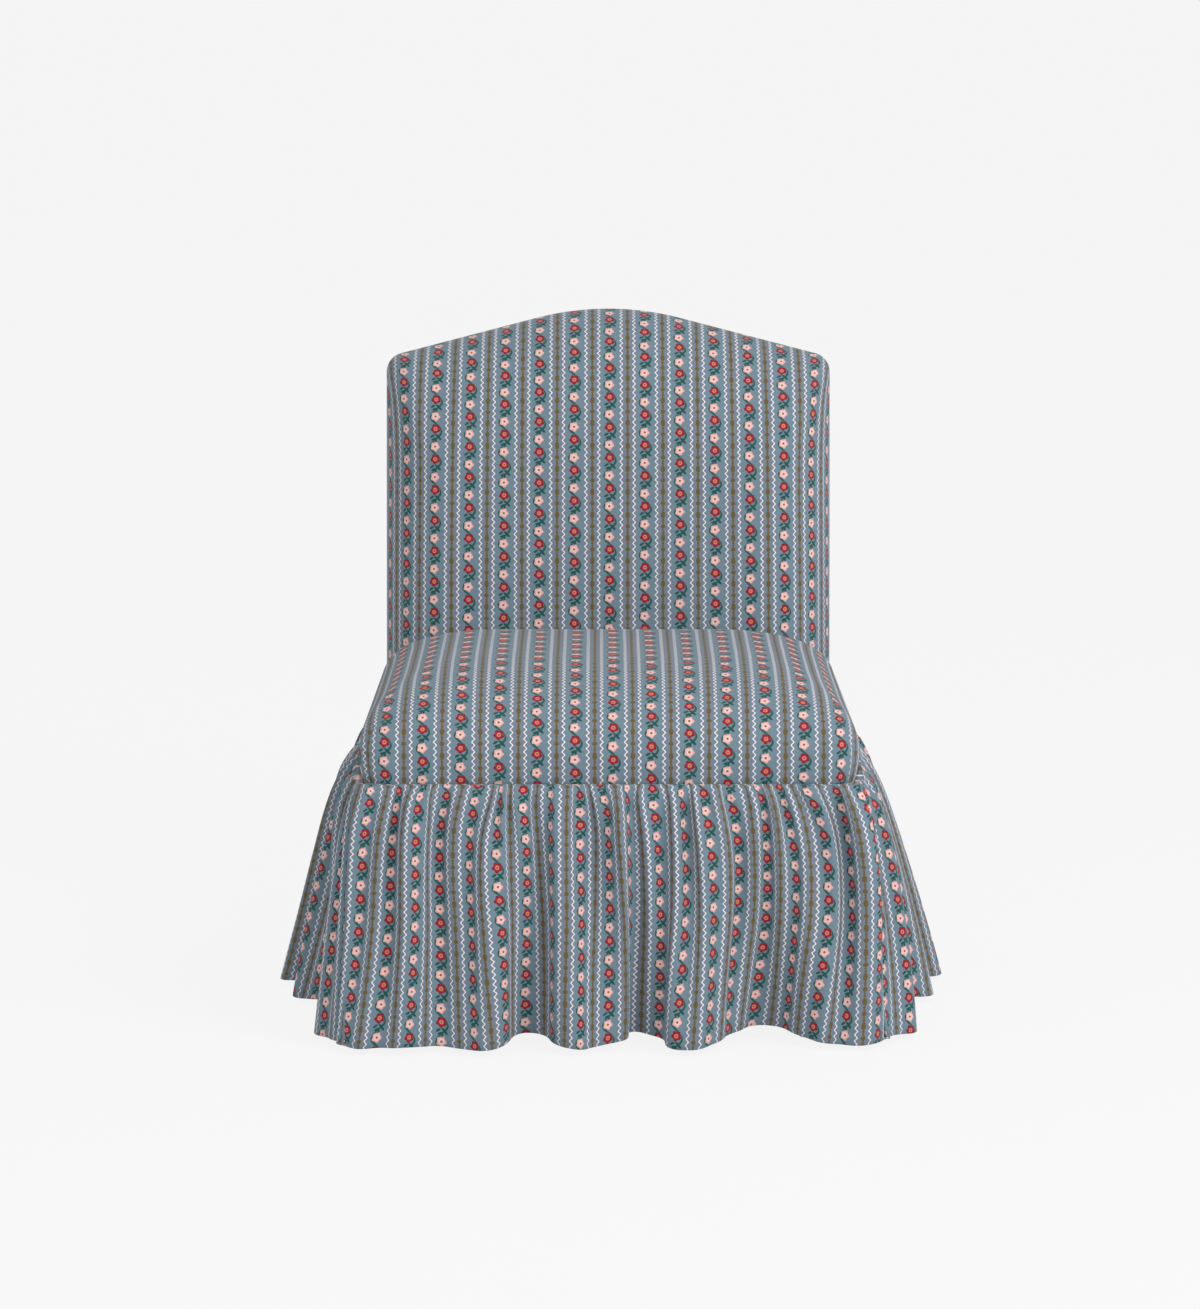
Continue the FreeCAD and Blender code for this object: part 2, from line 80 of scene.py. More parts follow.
class Wires:
    def __init__(self, tree):
        self.tree = tree

    def put(self, value, socket):
        if isinstance(value, bpy.types.NodeSocket):
            self.tree.links.new(value, socket)
        else:
            socket.default_value = value

    def add(self, kind, **settings):
        node = self.tree.nodes.new(kind)
        for name, value in settings.items():
            setattr(node, name, value)
        return node

    def math(self, operation, a, b=None, clamp=False):
        node = self.add("ShaderNodeMath", operation=operation, use_clamp=clamp)
        self.put(a, node.inputs[0])
        if b is not None:
            self.put(b, node.inputs[1])
        return node.outputs[0]

    def plus(self, a, b, clamp=False):
        return self.math("ADD", a, b, clamp=clamp)

    def minus(self, a, b):
        return self.math("SUBTRACT", a, b)

    def times(self, a, b):
        return self.math("MULTIPLY", a, b)

    def over(self, a, b):
        return self.math("DIVIDE", a, b)

    def absolute(self, a):
        return self.math("ABSOLUTE", a)

    def most(self, first, *others):
        for other in others:
            first = self.math("MAXIMUM", first, other)
        return first

    def vectorSum(self, a, b):
        node = self.add("ShaderNodeVectorMath", operation="ADD")
        self.put(a, node.inputs[0])
        self.put(b, node.inputs[1])
        return node.outputs[0]

    def mix(self, share, a, b, blend="MIX"):
        node = self.add("ShaderNodeMix", data_type="RGBA", blend_type=blend)
        self.put(share, node.inputs[0])
        self.put(a, node.inputs[6])
        self.put(b, node.inputs[7])
        return node.outputs[2]

    def noise(self, coord, scale, detail=2.0, rough=0.5):
        node = self.add("ShaderNodeTexNoise")
        self.put(coord, node.inputs["Vector"])
        node.inputs["Scale"].default_value = scale
        node.inputs["Detail"].default_value = detail
        node.inputs["Roughness"].default_value = rough
        return node.outputs["Fac"]

    def bump(self, height, distance, strength=1.0):
        node = self.add("ShaderNodeBump")
        node.inputs["Distance"].default_value = distance
        node.inputs["Strength"].default_value = strength
        self.put(height, node.inputs["Height"])
        return node.outputs["Normal"]


def shaderGroup(name, inputs, outputs):
    tree = bpy.data.node_groups.new(name, "ShaderNodeTree")
    for label, kind, value in inputs:
        socket = tree.interface.new_socket(label, in_out="INPUT", socket_type=kind)
        if value is not None:
            socket.default_value = value
    for label, kind in outputs:
        tree.interface.new_socket(label, in_out="OUTPUT", socket_type=kind)
    wires = Wires(tree)
    return tree, wires, wires.add("NodeGroupInput"), wires.add("NodeGroupOutput")


# Plain weave: crossing threads as a height and a slight change of tone

weaveShares = {"threadHeight": 0.7, "slubHeight": 0.6, "slubDetail": 3.0}


def weaveGroup():
    tree, w, start, end = shaderGroup(
        "plainWeave",
        [
            ("Coord", "NodeSocketVector", None), ("Threads", "NodeSocketFloat", 1600.0),
            ("Slub", "NodeSocketFloat", 60.0),
        ],
        [("Height", "NodeSocketFloat"), ("Tone", "NodeSocketFloat")],
    )
    split = w.add("ShaderNodeSeparateXYZ")
    w.put(start.outputs["Coord"], split.inputs[0])
    along = w.times(split.outputs[0], start.outputs["Threads"])
    up = w.times(split.outputs[1], start.outputs["Threads"])
    parity = w.math("PINGPONG", w.plus(w.math("FLOOR", along), w.math("FLOOR", up)), 1.0)
    warp = w.math("SINE", w.times(w.math("FRACT", along), math.pi))
    weft = w.math("SINE", w.times(w.math("FRACT", up), math.pi))
    mixed = w.add("ShaderNodeMix", data_type="FLOAT")
    w.put(parity, mixed.inputs[0])
    w.put(warp, mixed.inputs[2])
    w.put(weft, mixed.inputs[3])
    slub = w.add("ShaderNodeTexNoise")
    w.put(start.outputs["Coord"], slub.inputs["Vector"])
    w.put(start.outputs["Slub"], slub.inputs["Scale"])
    slub.inputs["Detail"].default_value = weaveShares["slubDetail"]
    threads = w.times(mixed.outputs[0], weaveShares["threadHeight"])
    w.put(w.plus(threads, w.times(slub.outputs["Fac"], weaveShares["slubHeight"])), end.inputs["Height"])
    w.put(slub.outputs["Fac"], end.inputs["Tone"])
    return tree


# The print: serpentine sprig bands between wavy lines, with a bead chain between them.
# Sizes are in millimetres on the cloth, and places along the repeat are shares of it.

printCloth = {
    "pitch": 45.5, "repeat": 39.4, "stepDown": 0.59, "perMetre": 1000.0, "soft": 0.32,
    "zigzag": 7.8, "zigzagWidth": 1.7, "zigzagSwing": 1.45, "zigzagAt": 14.5,
    "wobble": 0.7, "wobbleScale": 520.0, "petals": 5.0, "petalDepth": 0.13,
    "pinkAt": 0.80, "pinkX": -0.9, "pinkSize": 5.7, "pinkTurn": 0.6,
    "redAt": 0.385, "redX": -0.5, "redSize": 6.0, "redTurn": 2.2,
    "vineSwing": 7.4, "vineWidth": 1.5, "vineChange": 0.5, "leafAt": 0.10, "leafSoft": 0.3,
    "leaves": (
        (-4.6, 1.8, 0.55, 3.3, 1.5), (-2.4, -2.0, 0.35, 3.4, 1.4), (2.0, 2.2, 2.55, 3.3, 1.4),
        (4.8, -0.9, 2.4, 3.4, 1.5), (0.3, -4.4, 1.5, 2.6, 1.2),
    ),
    "beadRepeat": 29.6, "bandHalf": 8.0, "bead": 2.9, "longBead": (2.8, 4.9), "thread": 0.45,
    "smallBeads": ((4.8, 1.4), (7.9, 1.7)), "bandSoft": 0.6, "longSoft": 0.16, "threadSoft": 0.3,
    "pinkFade": (3.6, 2.4), "heart": (1.55, 0.7), "redFade": (4.2, 1.6), "ringOuter": (2.5, 0.6),
    "ringInner": (1.1, 0.5),
}

printColours = {
    "ground": fromSrgb(114, 138, 151), "bandGround": fromSrgb(120, 133, 145), "line": fromSrgb(240, 232, 240),
    "bead": fromSrgb(108, 92, 52), "red": fromSrgb(174, 38, 62), "redDeep": fromSrgb(136, 24, 48),
    "gold": fromSrgb(216, 146, 100), "pink": fromSrgb(236, 176, 172), "pinkPale": fromSrgb(248, 212, 206),
    "heart": fromSrgb(164, 84, 36), "stem": fromSrgb(30, 92, 80), "leaf": fromSrgb(28, 80, 74),
}


def printGroup():
    p, colours = printCloth, printColours
    tree, w, start, end = shaderGroup(
        "sprigStripe", [("Coord", "NodeSocketVector", None)], [("Color", "NodeSocketColor")],
    )
    split = w.add("ShaderNodeSeparateXYZ")
    w.put(start.outputs["Coord"], split.inputs[0])
    u = w.times(split.outputs[0], p["perMetre"])
    v = w.times(split.outputs[1], p["perMetre"])
    wobble = w.times(w.minus(w.noise(start.outputs["Coord"], p["wobbleScale"], 1.0), 0.5), p["wobble"])
    band = w.over(u, p["pitch"])
    column = w.math("FLOOR", band)
    x = w.times(w.minus(w.math("FRACT", band), 0.5), p["pitch"])
    lifted = w.plus(w.over(v, p["repeat"]), w.times(column, p["stepDown"]))

    def inside(distance, limit, soft=p["soft"]):
        return w.plus(w.over(w.minus(limit, distance), soft), 0.5, clamp=True)

    def centred(value, repeat):
        return w.times(w.minus(w.math("FRACT", value), 0.5), repeat)

    def localY(centre):
        return centred(w.minus(lifted, centre - 0.5), p["repeat"])

    def radius(dx, dy):
        return w.math("SQRT", w.plus(w.times(dx, dx), w.times(dy, dy)))

    def rosette(flower):
        dx, dy = w.minus(x, p[flower + "X"]), localY(p[flower + "At"])
        r = radius(dx, dy)
        angle = w.plus(w.times(w.math("ARCTAN2", dy, dx), p["petals"]), p[flower + "Turn"])
        edge = w.times(w.plus(w.times(w.math("COSINE", angle), p["petalDepth"]), 1.0), p[flower + "Size"])
        return r, inside(w.plus(r, wobble), edge)

    def leafShape(centreX, centreY, turn, longHalf, shortHalf):
        c, s = math.cos(turn), math.sin(turn)
        dx, dy = w.minus(x, centreX), w.minus(localY(p["leafAt"]), centreY)
        a = w.plus(w.times(dx, c), w.times(dy, s))
        b = w.minus(w.times(dy, c), w.times(dx, s))
        return inside(radius(w.over(a, longHalf), w.over(b, shortHalf)), 1.0, p["leafSoft"])

    # Ground, a little greyer under the beads
    toBeads = w.minus(p["pitch"] / 2, w.absolute(x))
    color = w.mix(inside(toBeads, p["bandHalf"], p["bandSoft"]), colours["ground"], colours["bandGround"])
    # Vine
    turnAt = w.times(w.minus(lifted, p["pinkAt"]), 2 * math.pi)
    swing = w.times(w.math("COSINE", turnAt), -p["vineSwing"])
    stemWidth = w.plus(w.times(w.math("SINE", w.times(lifted, 4 * math.pi)), p["vineChange"]), p["vineWidth"])
    stem = inside(w.absolute(w.minus(x, swing)), stemWidth)
    color = w.mix(stem, color, colours["stem"])
    # Leaves in plain pairs
    leaves = w.most(*[leafShape(*leaf) for leaf in p["leaves"]])
    color = w.mix(leaves, color, colours["leaf"])
    # Pink rosette with a small heart
    r, pinkMask = rosette("pink")
    color = w.mix(pinkMask, color, w.mix(inside(r, *p["pinkFade"]), colours["pink"], colours["pinkPale"]))
    color = w.mix(inside(r, *p["heart"]), color, colours["heart"])
    # Red rosette with a gold ring
    r, redMask = rosette("red")
    color = w.mix(redMask, color, w.mix(inside(r, *p["redFade"]), colours["redDeep"], colours["red"]))
    ring = w.times(inside(r, *p["ringOuter"]), w.minus(1.0, inside(r, *p["ringInner"])))
    color = w.mix(ring, color, colours["gold"])
    # Wavy lines
    wave = w.times(w.math("SINE", w.times(v, 2 * math.pi / p["zigzag"])), p["zigzagSwing"])
    fromLine = w.absolute(w.minus(w.minus(w.absolute(x), p["zigzagAt"]), wave))
    lines = inside(fromLine, p["zigzagWidth"] / 2)
    color = w.mix(lines, color, colours["line"])
    # Bead chain
    along = centred(w.over(v, p["beadRepeat"]), p["beadRepeat"])
    fromEnd = w.minus(p["beadRepeat"] / 2, w.absolute(along))
    longWide, longHigh = p["longBead"]
    beads = w.most(
        inside(w.plus(radius(toBeads, along), wobble), p["bead"]),
        inside(radius(w.over(toBeads, longWide), w.over(fromEnd, longHigh)), 1.0, p["longSoft"]),
        *[inside(radius(toBeads, w.minus(w.absolute(along), at)), size) for at, size in p["smallBeads"]],
        inside(toBeads, p["thread"], p["threadSoft"]),
    )
    color = w.mix(beads, color, colours["bead"])
    w.put(color, end.inputs["Color"])
    return tree


weave = weaveGroup()
sprigStripe = printGroup()


def clearedTree(owner):
    owner.use_nodes = True
    owner.node_tree.nodes.clear()
    return Wires(owner.node_tree)


def newMaterial(name):
    material = bpy.data.materials.new(name)
    w = clearedTree(material)
    shader = w.add("ShaderNodeBsdfPrincipled")
    out = w.add("ShaderNodeOutputMaterial")
    w.put(shader.outputs[0], out.inputs[0])
    return material, w, shader


printFinish = {
    "threads": 1500.0, "slub": 620.0, "toneSpan": 0.62, "toneFloor": 0.72, "roughness": 0.86,
    "specular": 0.25, "sheen": 0.12, "sheenRoughness": 0.5, "bump": 0.00025, "bumpShare": 0.5,
}


def printMaterial():
    f = printFinish
    material, w, shader = newMaterial("printedCotton")
    uv = w.add("ShaderNodeUVMap", uv_map="cut").outputs[0]
    drawn = w.add("ShaderNodeGroup", node_tree=sprigStripe)
    w.put(uv, drawn.inputs["Coord"])
    cloth = w.add("ShaderNodeGroup", node_tree=weave)
    w.put(uv, cloth.inputs["Coord"])
    cloth.inputs["Threads"].default_value = f["threads"]
    cloth.inputs["Slub"].default_value = f["slub"]
    shade = w.plus(w.times(cloth.outputs["Tone"], f["toneSpan"]), f["toneFloor"])
    tone = w.add("ShaderNodeCombineColor")
    for i in range(3):
        w.put(shade, tone.inputs[i])
    color = w.mix(1.0, drawn.outputs["Color"], tone.outputs[0], "MULTIPLY")
    w.put(color, shader.inputs["Base Color"])
    shader.inputs["Roughness"].default_value = f["roughness"]
    shader.inputs["Specular IOR Level"].default_value = f["specular"]
    shader.inputs["Sheen Weight"].default_value = f["sheen"]
    shader.inputs["Sheen Roughness"].default_value = f["sheenRoughness"]
    w.put(w.bump(cloth.outputs["Height"], f["bump"], f["bumpShare"]), shader.inputs["Normal"])
    return material


def plainCloth(name, color, threads, distance):
    material, w, shader = newMaterial(name)
    coord = w.add("ShaderNodeTexCoord").outputs["Object"]
    cloth = w.add("ShaderNodeGroup", node_tree=weave)
    w.put(coord, cloth.inputs["Coord"])
    cloth.inputs["Threads"].default_value = threads
    w.put(w.mix(cloth.outputs["Tone"], shaded(color, 0.72), color), shader.inputs["Base Color"])
    shader.inputs["Roughness"].default_value = 0.9
    w.put(w.bump(cloth.outputs["Height"], distance), shader.inputs["Normal"])
    return material


def fluffy(name, color, scale, distance):
    material, w, shader = newMaterial(name)
    coord = w.add("ShaderNodeTexCoord").outputs["Object"]
    cells = w.noise(coord, scale, 6.0, 0.7)
    w.put(w.mix(cells, shaded(color, 0.8), color), shader.inputs["Base Color"])
    shader.inputs["Roughness"].default_value = 0.95
    w.put(w.bump(cells, distance), shader.inputs["Normal"])
    return material


def wooden(name, pale, dark, rough, stretch):
    material, w, shader = newMaterial(name)
    coord = w.add("ShaderNodeTexCoord").outputs["Object"]
    place = w.add("ShaderNodeMapping")
    w.put(coord, place.inputs[0])
    place.inputs["Scale"].default_value = stretch
    grain = w.noise(place.outputs[0], 46.0, 6.0, 0.62)
    pores = w.noise(place.outputs[0], 320.0, 2.0, 0.5)
    color = w.mix(grain, dark, pale)
    color = w.mix(w.times(w.math("GREATER_THAN", pores, 0.62), 0.3), color, dark)
    w.put(color, shader.inputs["Base Color"])
    shader.inputs["Roughness"].default_value = rough
    w.put(w.bump(grain, 0.0004), shader.inputs["Normal"])
    return material


def metallic(name, color, rough):
    material, w, shader = newMaterial(name)
    coord = w.add("ShaderNodeTexCoord").outputs["Object"]
    spots = w.noise(coord, 300.0, 4.0, 0.6)
    w.put(w.mix(spots, shaded(color, 0.7), color), shader.inputs["Base Color"])
    shader.inputs["Metallic"].default_value = 1.0
    w.put(w.plus(w.times(spots, 0.2), rough), shader.inputs["Roughness"])
    return material


def moulded(name, color, rough):
    material, w, shader = newMaterial(name)
    coord = w.add("ShaderNodeTexCoord").outputs["Object"]
    grit = w.noise(coord, 900.0, 3.0, 0.6)
    pale = tuple(min(1.0, channel * 1.6 + 0.01) for channel in color[:3]) + (1.0,)
    w.put(w.mix(grit, color, pale), shader.inputs["Base Color"])
    shader.inputs["Roughness"].default_value = rough
    w.put(w.bump(grit, 0.0001), shader.inputs["Normal"])
    return material


beechPale, beechDark = fromSrgb(206, 170, 124), fromSrgb(168, 128, 84)
acrossGrain, alongGrain, upGrain = (0.12, 1.0, 1.0), (1.0, 0.12, 1.0), (1.0, 1.0, 0.12)
materials = {
    "print": printMaterial(),
    "lining": plainCloth("liningCalico", fromSrgb(196, 188, 170), 1100.0, 0.0002),
    "felt": fluffy("deckFelt", fromSrgb(140, 132, 120), 420.0, 0.0008),
    "wadding": fluffy("polyesterWadding", fromSrgb(238, 236, 228), 260.0, 0.0012),
    "foam": fluffy("seatFoam", fromSrgb(226, 204, 146), 900.0, 0.0005),
    "webbing": plainCloth("juteWebbing", fromSrgb(172, 136, 88), 480.0, 0.0006),
    "frameAcross": wooden("beechAcross", beechPale, beechDark, 0.62, acrossGrain),
    "frameAlong": wooden("beechAlong", beechPale, beechDark, 0.62, alongGrain),
    "frameUp": wooden("beechUpright", beechPale, beechDark, 0.62, upGrain),
    "legs": wooden("stainedLeg", fromSrgb(92, 56, 34), fromSrgb(58, 34, 22), 0.42, upGrain),
    "dowel": wooden("birchDowel", fromSrgb(220, 190, 144), fromSrgb(190, 156, 108), 0.6, (1.0, 1.0, 1.0)),
    "zinc": metallic("zincSteel", fromSrgb(190, 192, 194), 0.3),
    "glide": moulded("glidePlastic", fromSrgb(30, 30, 30), 0.5),
    "dust": plainCloth("dustCloth", fromSrgb(36, 36, 38), 800.0, 0.0002),
}

nodeFinish = {
    "seat_rail_front": "frameAcross", "seat_rail_rear": "frameAcross", "seat_rail_left": "frameAlong",
    "seat_rail_right": "frameAlong", "corner_blocks": "frameAcross", "back_post_left": "frameUp",
    "back_post_right": "frameUp", "back_tack_rail": "frameAcross", "back_crest_rail": "frameAcross",
    "frame_dowels": "dowel", "front_leg_left": "legs", "front_leg_right": "legs", "leg_nuts": "zinc",
    "leg_bolts": "zinc", "leg_glides": "glide", "dust_cover": "dust", "seat_webbing": "webbing",
    "back_webbing": "webbing", "skirt_tape": "lining", "seat_deck_pad": "felt", "seat_wadding": "wadding",
    "back_wadding": "wadding", "seat_foam": "foam", "back_foam": "foam",
}
for name, finish in nodeFinish.items():
    for slot in nodes[name].material_slots:
        slot.material = materials[finish]
print("stage: materials made")


# Mesh helpers


def linked(name, data):
    made = bpy.data.objects.new(name, data)
    bpy.context.scene.collection.objects.link(made)
    return made


def meshFrom(name, points, faces, uvs, finish):
    mesh = bpy.data.meshes.new(name)
    mesh.from_pydata([tuple(point) for point in points], [], faces)
    layer = mesh.uv_layers.new(name="cut")
    layer.data.foreach_set("uv", [coord for face in uvs for uv in face for coord in uv])
    mesh.materials.append(materials[finish])
    mesh.shade_smooth()
    return linked(name, mesh)


def gridFaces(columns, rows, flipped=False):
    # Faces of a sheet of points laid out row by row
    faces = []
    for j in range(rows):
        for i in range(columns):
            a = j * (columns + 1) + i
            b, c, d = a + 1, a + columns + 2, a + columns + 1
            faces.append((b, a, d, c) if flipped else (a, b, c, d))
    return faces


def indexIn(columns):
    return lambda i, j: j * (columns + 1) + i


def archRim(columns, rows):
    # Indices up the left edge of such a sheet, over its top and down its right edge
    at = indexIn(columns)
    left = [at(0, j) for j in range(rows + 1)]
    return left + [at(i, rows) for i in range(1, columns)] + [at(columns, j) for j in range(rows, -1, -1)]


# The back pad's shape, in its reclined plane: u runs forwards from its rear face, w runs up it

backPad = {
    "recline": math.radians(8.0), "edge": 0.035, "thickness": 0.140, "topRoll": 0.185, "sideRoll": 0.100,
    "slope": math.radians(14.6), "shoulder": 0.025, "arch": 0.370, "patternAt": (0.02055, 0.0321),
    "columns": 120, "rows": 120, "rowEase": 1.6, "bandSteps": 5, "rearGap": 0.0005,
}
backHalf = backHigh.x
cosTilt, sinTilt = math.cos(backPad["recline"]), math.sin(backPad["recline"])
backLength = (backHigh.z - seamZ - backPad["edge"] * sinTilt) / cosTilt
# The rear face meets the seam's level at this depth
rearY = backHigh.y - backLength * sinTilt


def onBack(x, u, w):
    return (x, rearY - u * cosTilt + w * sinTilt, seamZ + u * sinTilt + w * cosTilt)


def backTop(x):
    # Height of the outline over the seam at any x: straight slopes, a round middle, small round shoulders.
    b = backPad
    reach = abs(x)
    apex = backLength + b["arch"] * (1 / math.cos(b["slope"]) - 1)
    joint = b["arch"] * math.sin(b["slope"])
    if reach < joint:
        height = backLength - b["arch"] + math.sqrt(b["arch"] ** 2 - reach ** 2)
    else:
        height = apex - reach * math.tan(b["slope"])
    radius = b["shoulder"]
    cx = backHalf - radius
    if reach > cx + radius * math.sin(b["slope"]):
        cw = apex - cx * math.tan(b["slope"]) - radius / math.cos(b["slope"])
        height = cw + math.sqrt(max(0.0, radius ** 2 - (reach - cx) ** 2))
    return height


def shareInside(margin, count):
    # The largest share, from 0 at the rim to 1 on the crown, whose outline still holds each point.
    low, high = np.zeros(count), np.ones(count)
    for _ in range(26):
        middle = (low + high) / 2
        held = margin(middle) >= 0
        low = np.where(held, middle, low)
        high = np.where(held, high, middle)
    return low


def backDepths(x, w):
    # How far the padded face stands forward of the rear face.
    b = backPad
    slope = b["slope"]
    reach = np.abs(x)

    def margin(s):
        half = backHalf - b["sideRoll"] * s
        length = backLength - b["topRoll"] * s
        apex = length + b["arch"] * (1 / math.cos(slope) - 1)
        fromSide = half - reach
        fromTop = (apex - reach * math.tan(slope) - w) * math.cos(slope)
        radius = b["shoulder"] + b["sideRoll"] * s / 2
        cx = half - radius
        cw = apex - cx * math.tan(slope) - radius / math.cos(slope)
        dx, dw = reach - cx, w - cw
        corner = (dw > 0) & (dx * math.cos(slope) - dw * math.sin(slope) > 0)
        inRound = radius - np.hypot(dx, dw)
        joint = b["arch"] * math.sin(slope)
        dome = (reach < joint) & (w > length - b["arch"])
        fromTop = np.where(dome, b["arch"] - np.hypot(reach, w - (length - b["arch"])), fromTop)
        return np.where(corner, inRound, np.minimum(fromSide, fromTop))
    share = shareInside(margin, len(x))
    return b["edge"] + (b["thickness"] - b["edge"]) * np.sqrt(np.clip(1 - (1 - share) ** 2, 0, 1))


def backFaceY(x, z):
    # Y of the padded face at a level z, found in a few steps.
    u = np.full(len(x), backPad["thickness"])
    for _ in range(5):
        w = (z - seamZ - u * sinTilt) / cosTilt
        u = backDepths(x, w)
    return rearY - u * cosTilt + w * sinTilt


def edgeDense(count):
    # Shares from 0 to 1, denser at both ends.
    return [(1 - math.cos(math.pi * i / count)) / 2 for i in range(count + 1)]


def arcs(points):
    # Running length along a row of points.
    total = [0.0]
    for a, b in zip(points, points[1:]):
        total.append(total[-1] + math.dist(a, b))
    return total


def cutLayout(points, columns, rows, shift):
    # Where each point lies on the flat cloth, measured across from the middle and up from the first row.
    grid = [points[j * (columns + 1):(j + 1) * (columns + 1)] for j in range(rows + 1)]
    runs = [arcs(row) for row in grid]
    across = [[length - run[columns // 2] + shift[0] for length in run] for run in runs]
    up = [arcs(column) for column in zip(*grid)]
    return [(across[j][i], up[i][j] + shift[1]) for j in range(rows + 1) for i in range(columns + 1)]


def buildBackCover():
    b = backPad
    columns, rows = b["columns"], b["rows"]
    heights = [1 - (1 - i / rows) ** b["rowEase"] for i in range(rows + 1)]
    sideways = [backHalf * (2 * p - 1) for p in edgeDense(columns)]
    lowest = -b["thickness"] * math.tan(b["recline"])
    x = np.array([sideways for _ in heights]).ravel()
    w = np.array([[lowest + q * (backTop(place) - lowest) for place in sideways] for q in heights]).ravel()
    points = [onBack(*place) for place in zip(x, backDepths(x, w), w)]
    uv = cutLayout(points, columns, rows, b["patternAt"])
    faces = gridFaces(columns, rows)
    # The edge band runs back from the front's rim to the rear face
    rim = archRim(columns, rows)
    outward = []
    for k in rim:
        i, j = k % (columns + 1), k // (columns + 1)
        outward.append((-1, 0) if i == 0 and j < rows else (1, 0) if i == columns and j < rows else (0, 1))
    previous = rim
    for step in range(1, b["bandSteps"] + 1):
        behind = (b["edge"] - b["rearGap"]) * step / b["bandSteps"]
        current = []
        for k, (du, dv) in zip(rim, outward):
            x, y, z = points[k]
            points.append((x, y + behind * cosTilt, max(z - behind * sinTilt, seamZ)))
            uv.append((uv[k][0] + du * behind, uv[k][1] + dv * behind))
            current.append(len(points) - 1)
        for n in range(len(rim) - 1):
            faces.append((previous[n], previous[n + 1], current[n + 1], current[n]))
        previous = current
    return points, faces, [[uv[k] for k in face] for face in faces]


backCover = meshFrom("backCover", *buildBackCover(), "print")
print("stage: back cover built")

# The seat pad's shape

seatPad = {
    "widest": 0.358, "corner": 0.038, "frontRoll": 0.185, "sideRoll": 0.150, "rearRoll": 0.185,
    "drawIn": 0.006, "rear": 0.243, "rearCorner": 0.024, "cornerSwell": 0.034, "rearHalf": 0.293,
    "frontHalf": 0.301, "rearLine": 0.290, "pullDown": 0.058, "pullRear": 0.2893,
    "dartAt": math.radians(40), "dartTop": 0.41, "dartFade": 0.03, "dartDepth": 0.0022, "dartWidth": 0.0022,
    "gap": 0.0012, "patternAt": (0.01705, 0.0238), "columns": 130, "rows": 110, "wallSteps": 8,
    "pullSteps": 4, "cornerSteps": 8,
}


def seatSide(y):
    s = seatPad
    share = (y - seatLow.y) / (s["rearLine"] - seatLow.y)
    return s["frontHalf"] + (s["rearHalf"] - s["frontHalf"]) * share


def roundedIn(x, half, radius):
    # How far a rounded corner of the plan is set back at this x.
    over = abs(x) - (half - radius)
    return radius - math.sqrt(max(0.0, radius ** 2 - over ** 2)) if over > 0 else 0.0


def seatFrontY(x):
    return seatLow.y + roundedIn(x, seatPad["frontHalf"], seatPad["corner"])


def seatRearY(x):
    return seatPad["rear"] - roundedIn(x, seatSide(seatPad["rear"]), seatPad["rearCorner"])


def seatTops(x, y):
    s = seatPad
    reach = np.abs(x)

    def margin(share):
        front = seatLow.y + s["frontRoll"] * share
        rear = s["rear"] - s["rearRoll"] * share
        fromFront, fromRear = y - front, rear - y
        fromSide = seatSide(y) - s["sideRoll"] * share - reach
        swell = s["cornerSwell"] * np.sin(np.pi * share)
        result = np.minimum(np.minimum(fromFront, fromRear), fromSide)
        for fromEnd, size in ((fromFront, s["corner"] + swell), (fromRear, s["rearCorner"] + swell)):
            corner = (fromEnd < size) & (fromSide < size)
            inRound = size - np.hypot(size - fromEnd, size - fromSide)
            result = np.where(corner, np.minimum(result, inRound), result)
        return result
    share = shareInside(margin, len(x))
    return s["widest"] + (seatHigh.z - s["widest"]) * np.sqrt(np.clip(1 - (1 - share) ** 2, 0, 1))


def pullDownRing():
    # The seam's line in plan, anticlockwise seen from above
    s = seatPad
    radius = s["corner"] - s["drawIn"]
    front, rear = seatLow.y + s["drawIn"], s["pullRear"]
    frontX, rearX = seatSide(front) - s["drawIn"], seatSide(rear) - s["drawIn"]
    ring = []
    for quarter, (x, y) in enumerate(((-frontX, front), (frontX, front), (rearX, rear), (-rearX, rear))):
        cx, cy = x - math.copysign(radius, x), y - math.copysign(radius, y)
        for step in range(s["cornerSteps"] + 1):
            angle = math.pi / 2 * (quarter + 2 + step / s["cornerSteps"])
            ring.append((cx + radius * math.cos(angle), cy + radius * math.sin(angle)))
    return ring


def dartCorners(place):
    # A sewn dart runs down each rounded front corner
    s = seatPad
    cx, cy = s["frontHalf"] - s["corner"], seatLow.y + s["corner"]
    dx, dy = np.abs(place[:, 0]) - cx, cy - place[:, 1]
    onCorner = (dx > 0) & (dy > 0)
    away = np.hypot(dx, dy) * (np.arctan2(dy, dx) - s["dartAt"])
    fade = np.clip((s["dartTop"] - place[:, 2]) / s["dartFade"], 0, 1)
    push = np.where(onCorner, s["dartDepth"] * fade * np.exp(-(away / s["dartWidth"]) ** 2), 0.0)
    size = np.maximum(np.hypot(dx, dy), 1e-6)
    place[:, 0] -= np.sign(place[:, 0]) * dx / size * push
    place[:, 1] += dy / size * push


def ringFaces(upper, lower):
    # Faces between two rings of indices, wound outwards
    count = len(upper)
    return [(upper[n], lower[n], lower[(n + 1) % count], upper[(n + 1) % count]) for n in range(count)]


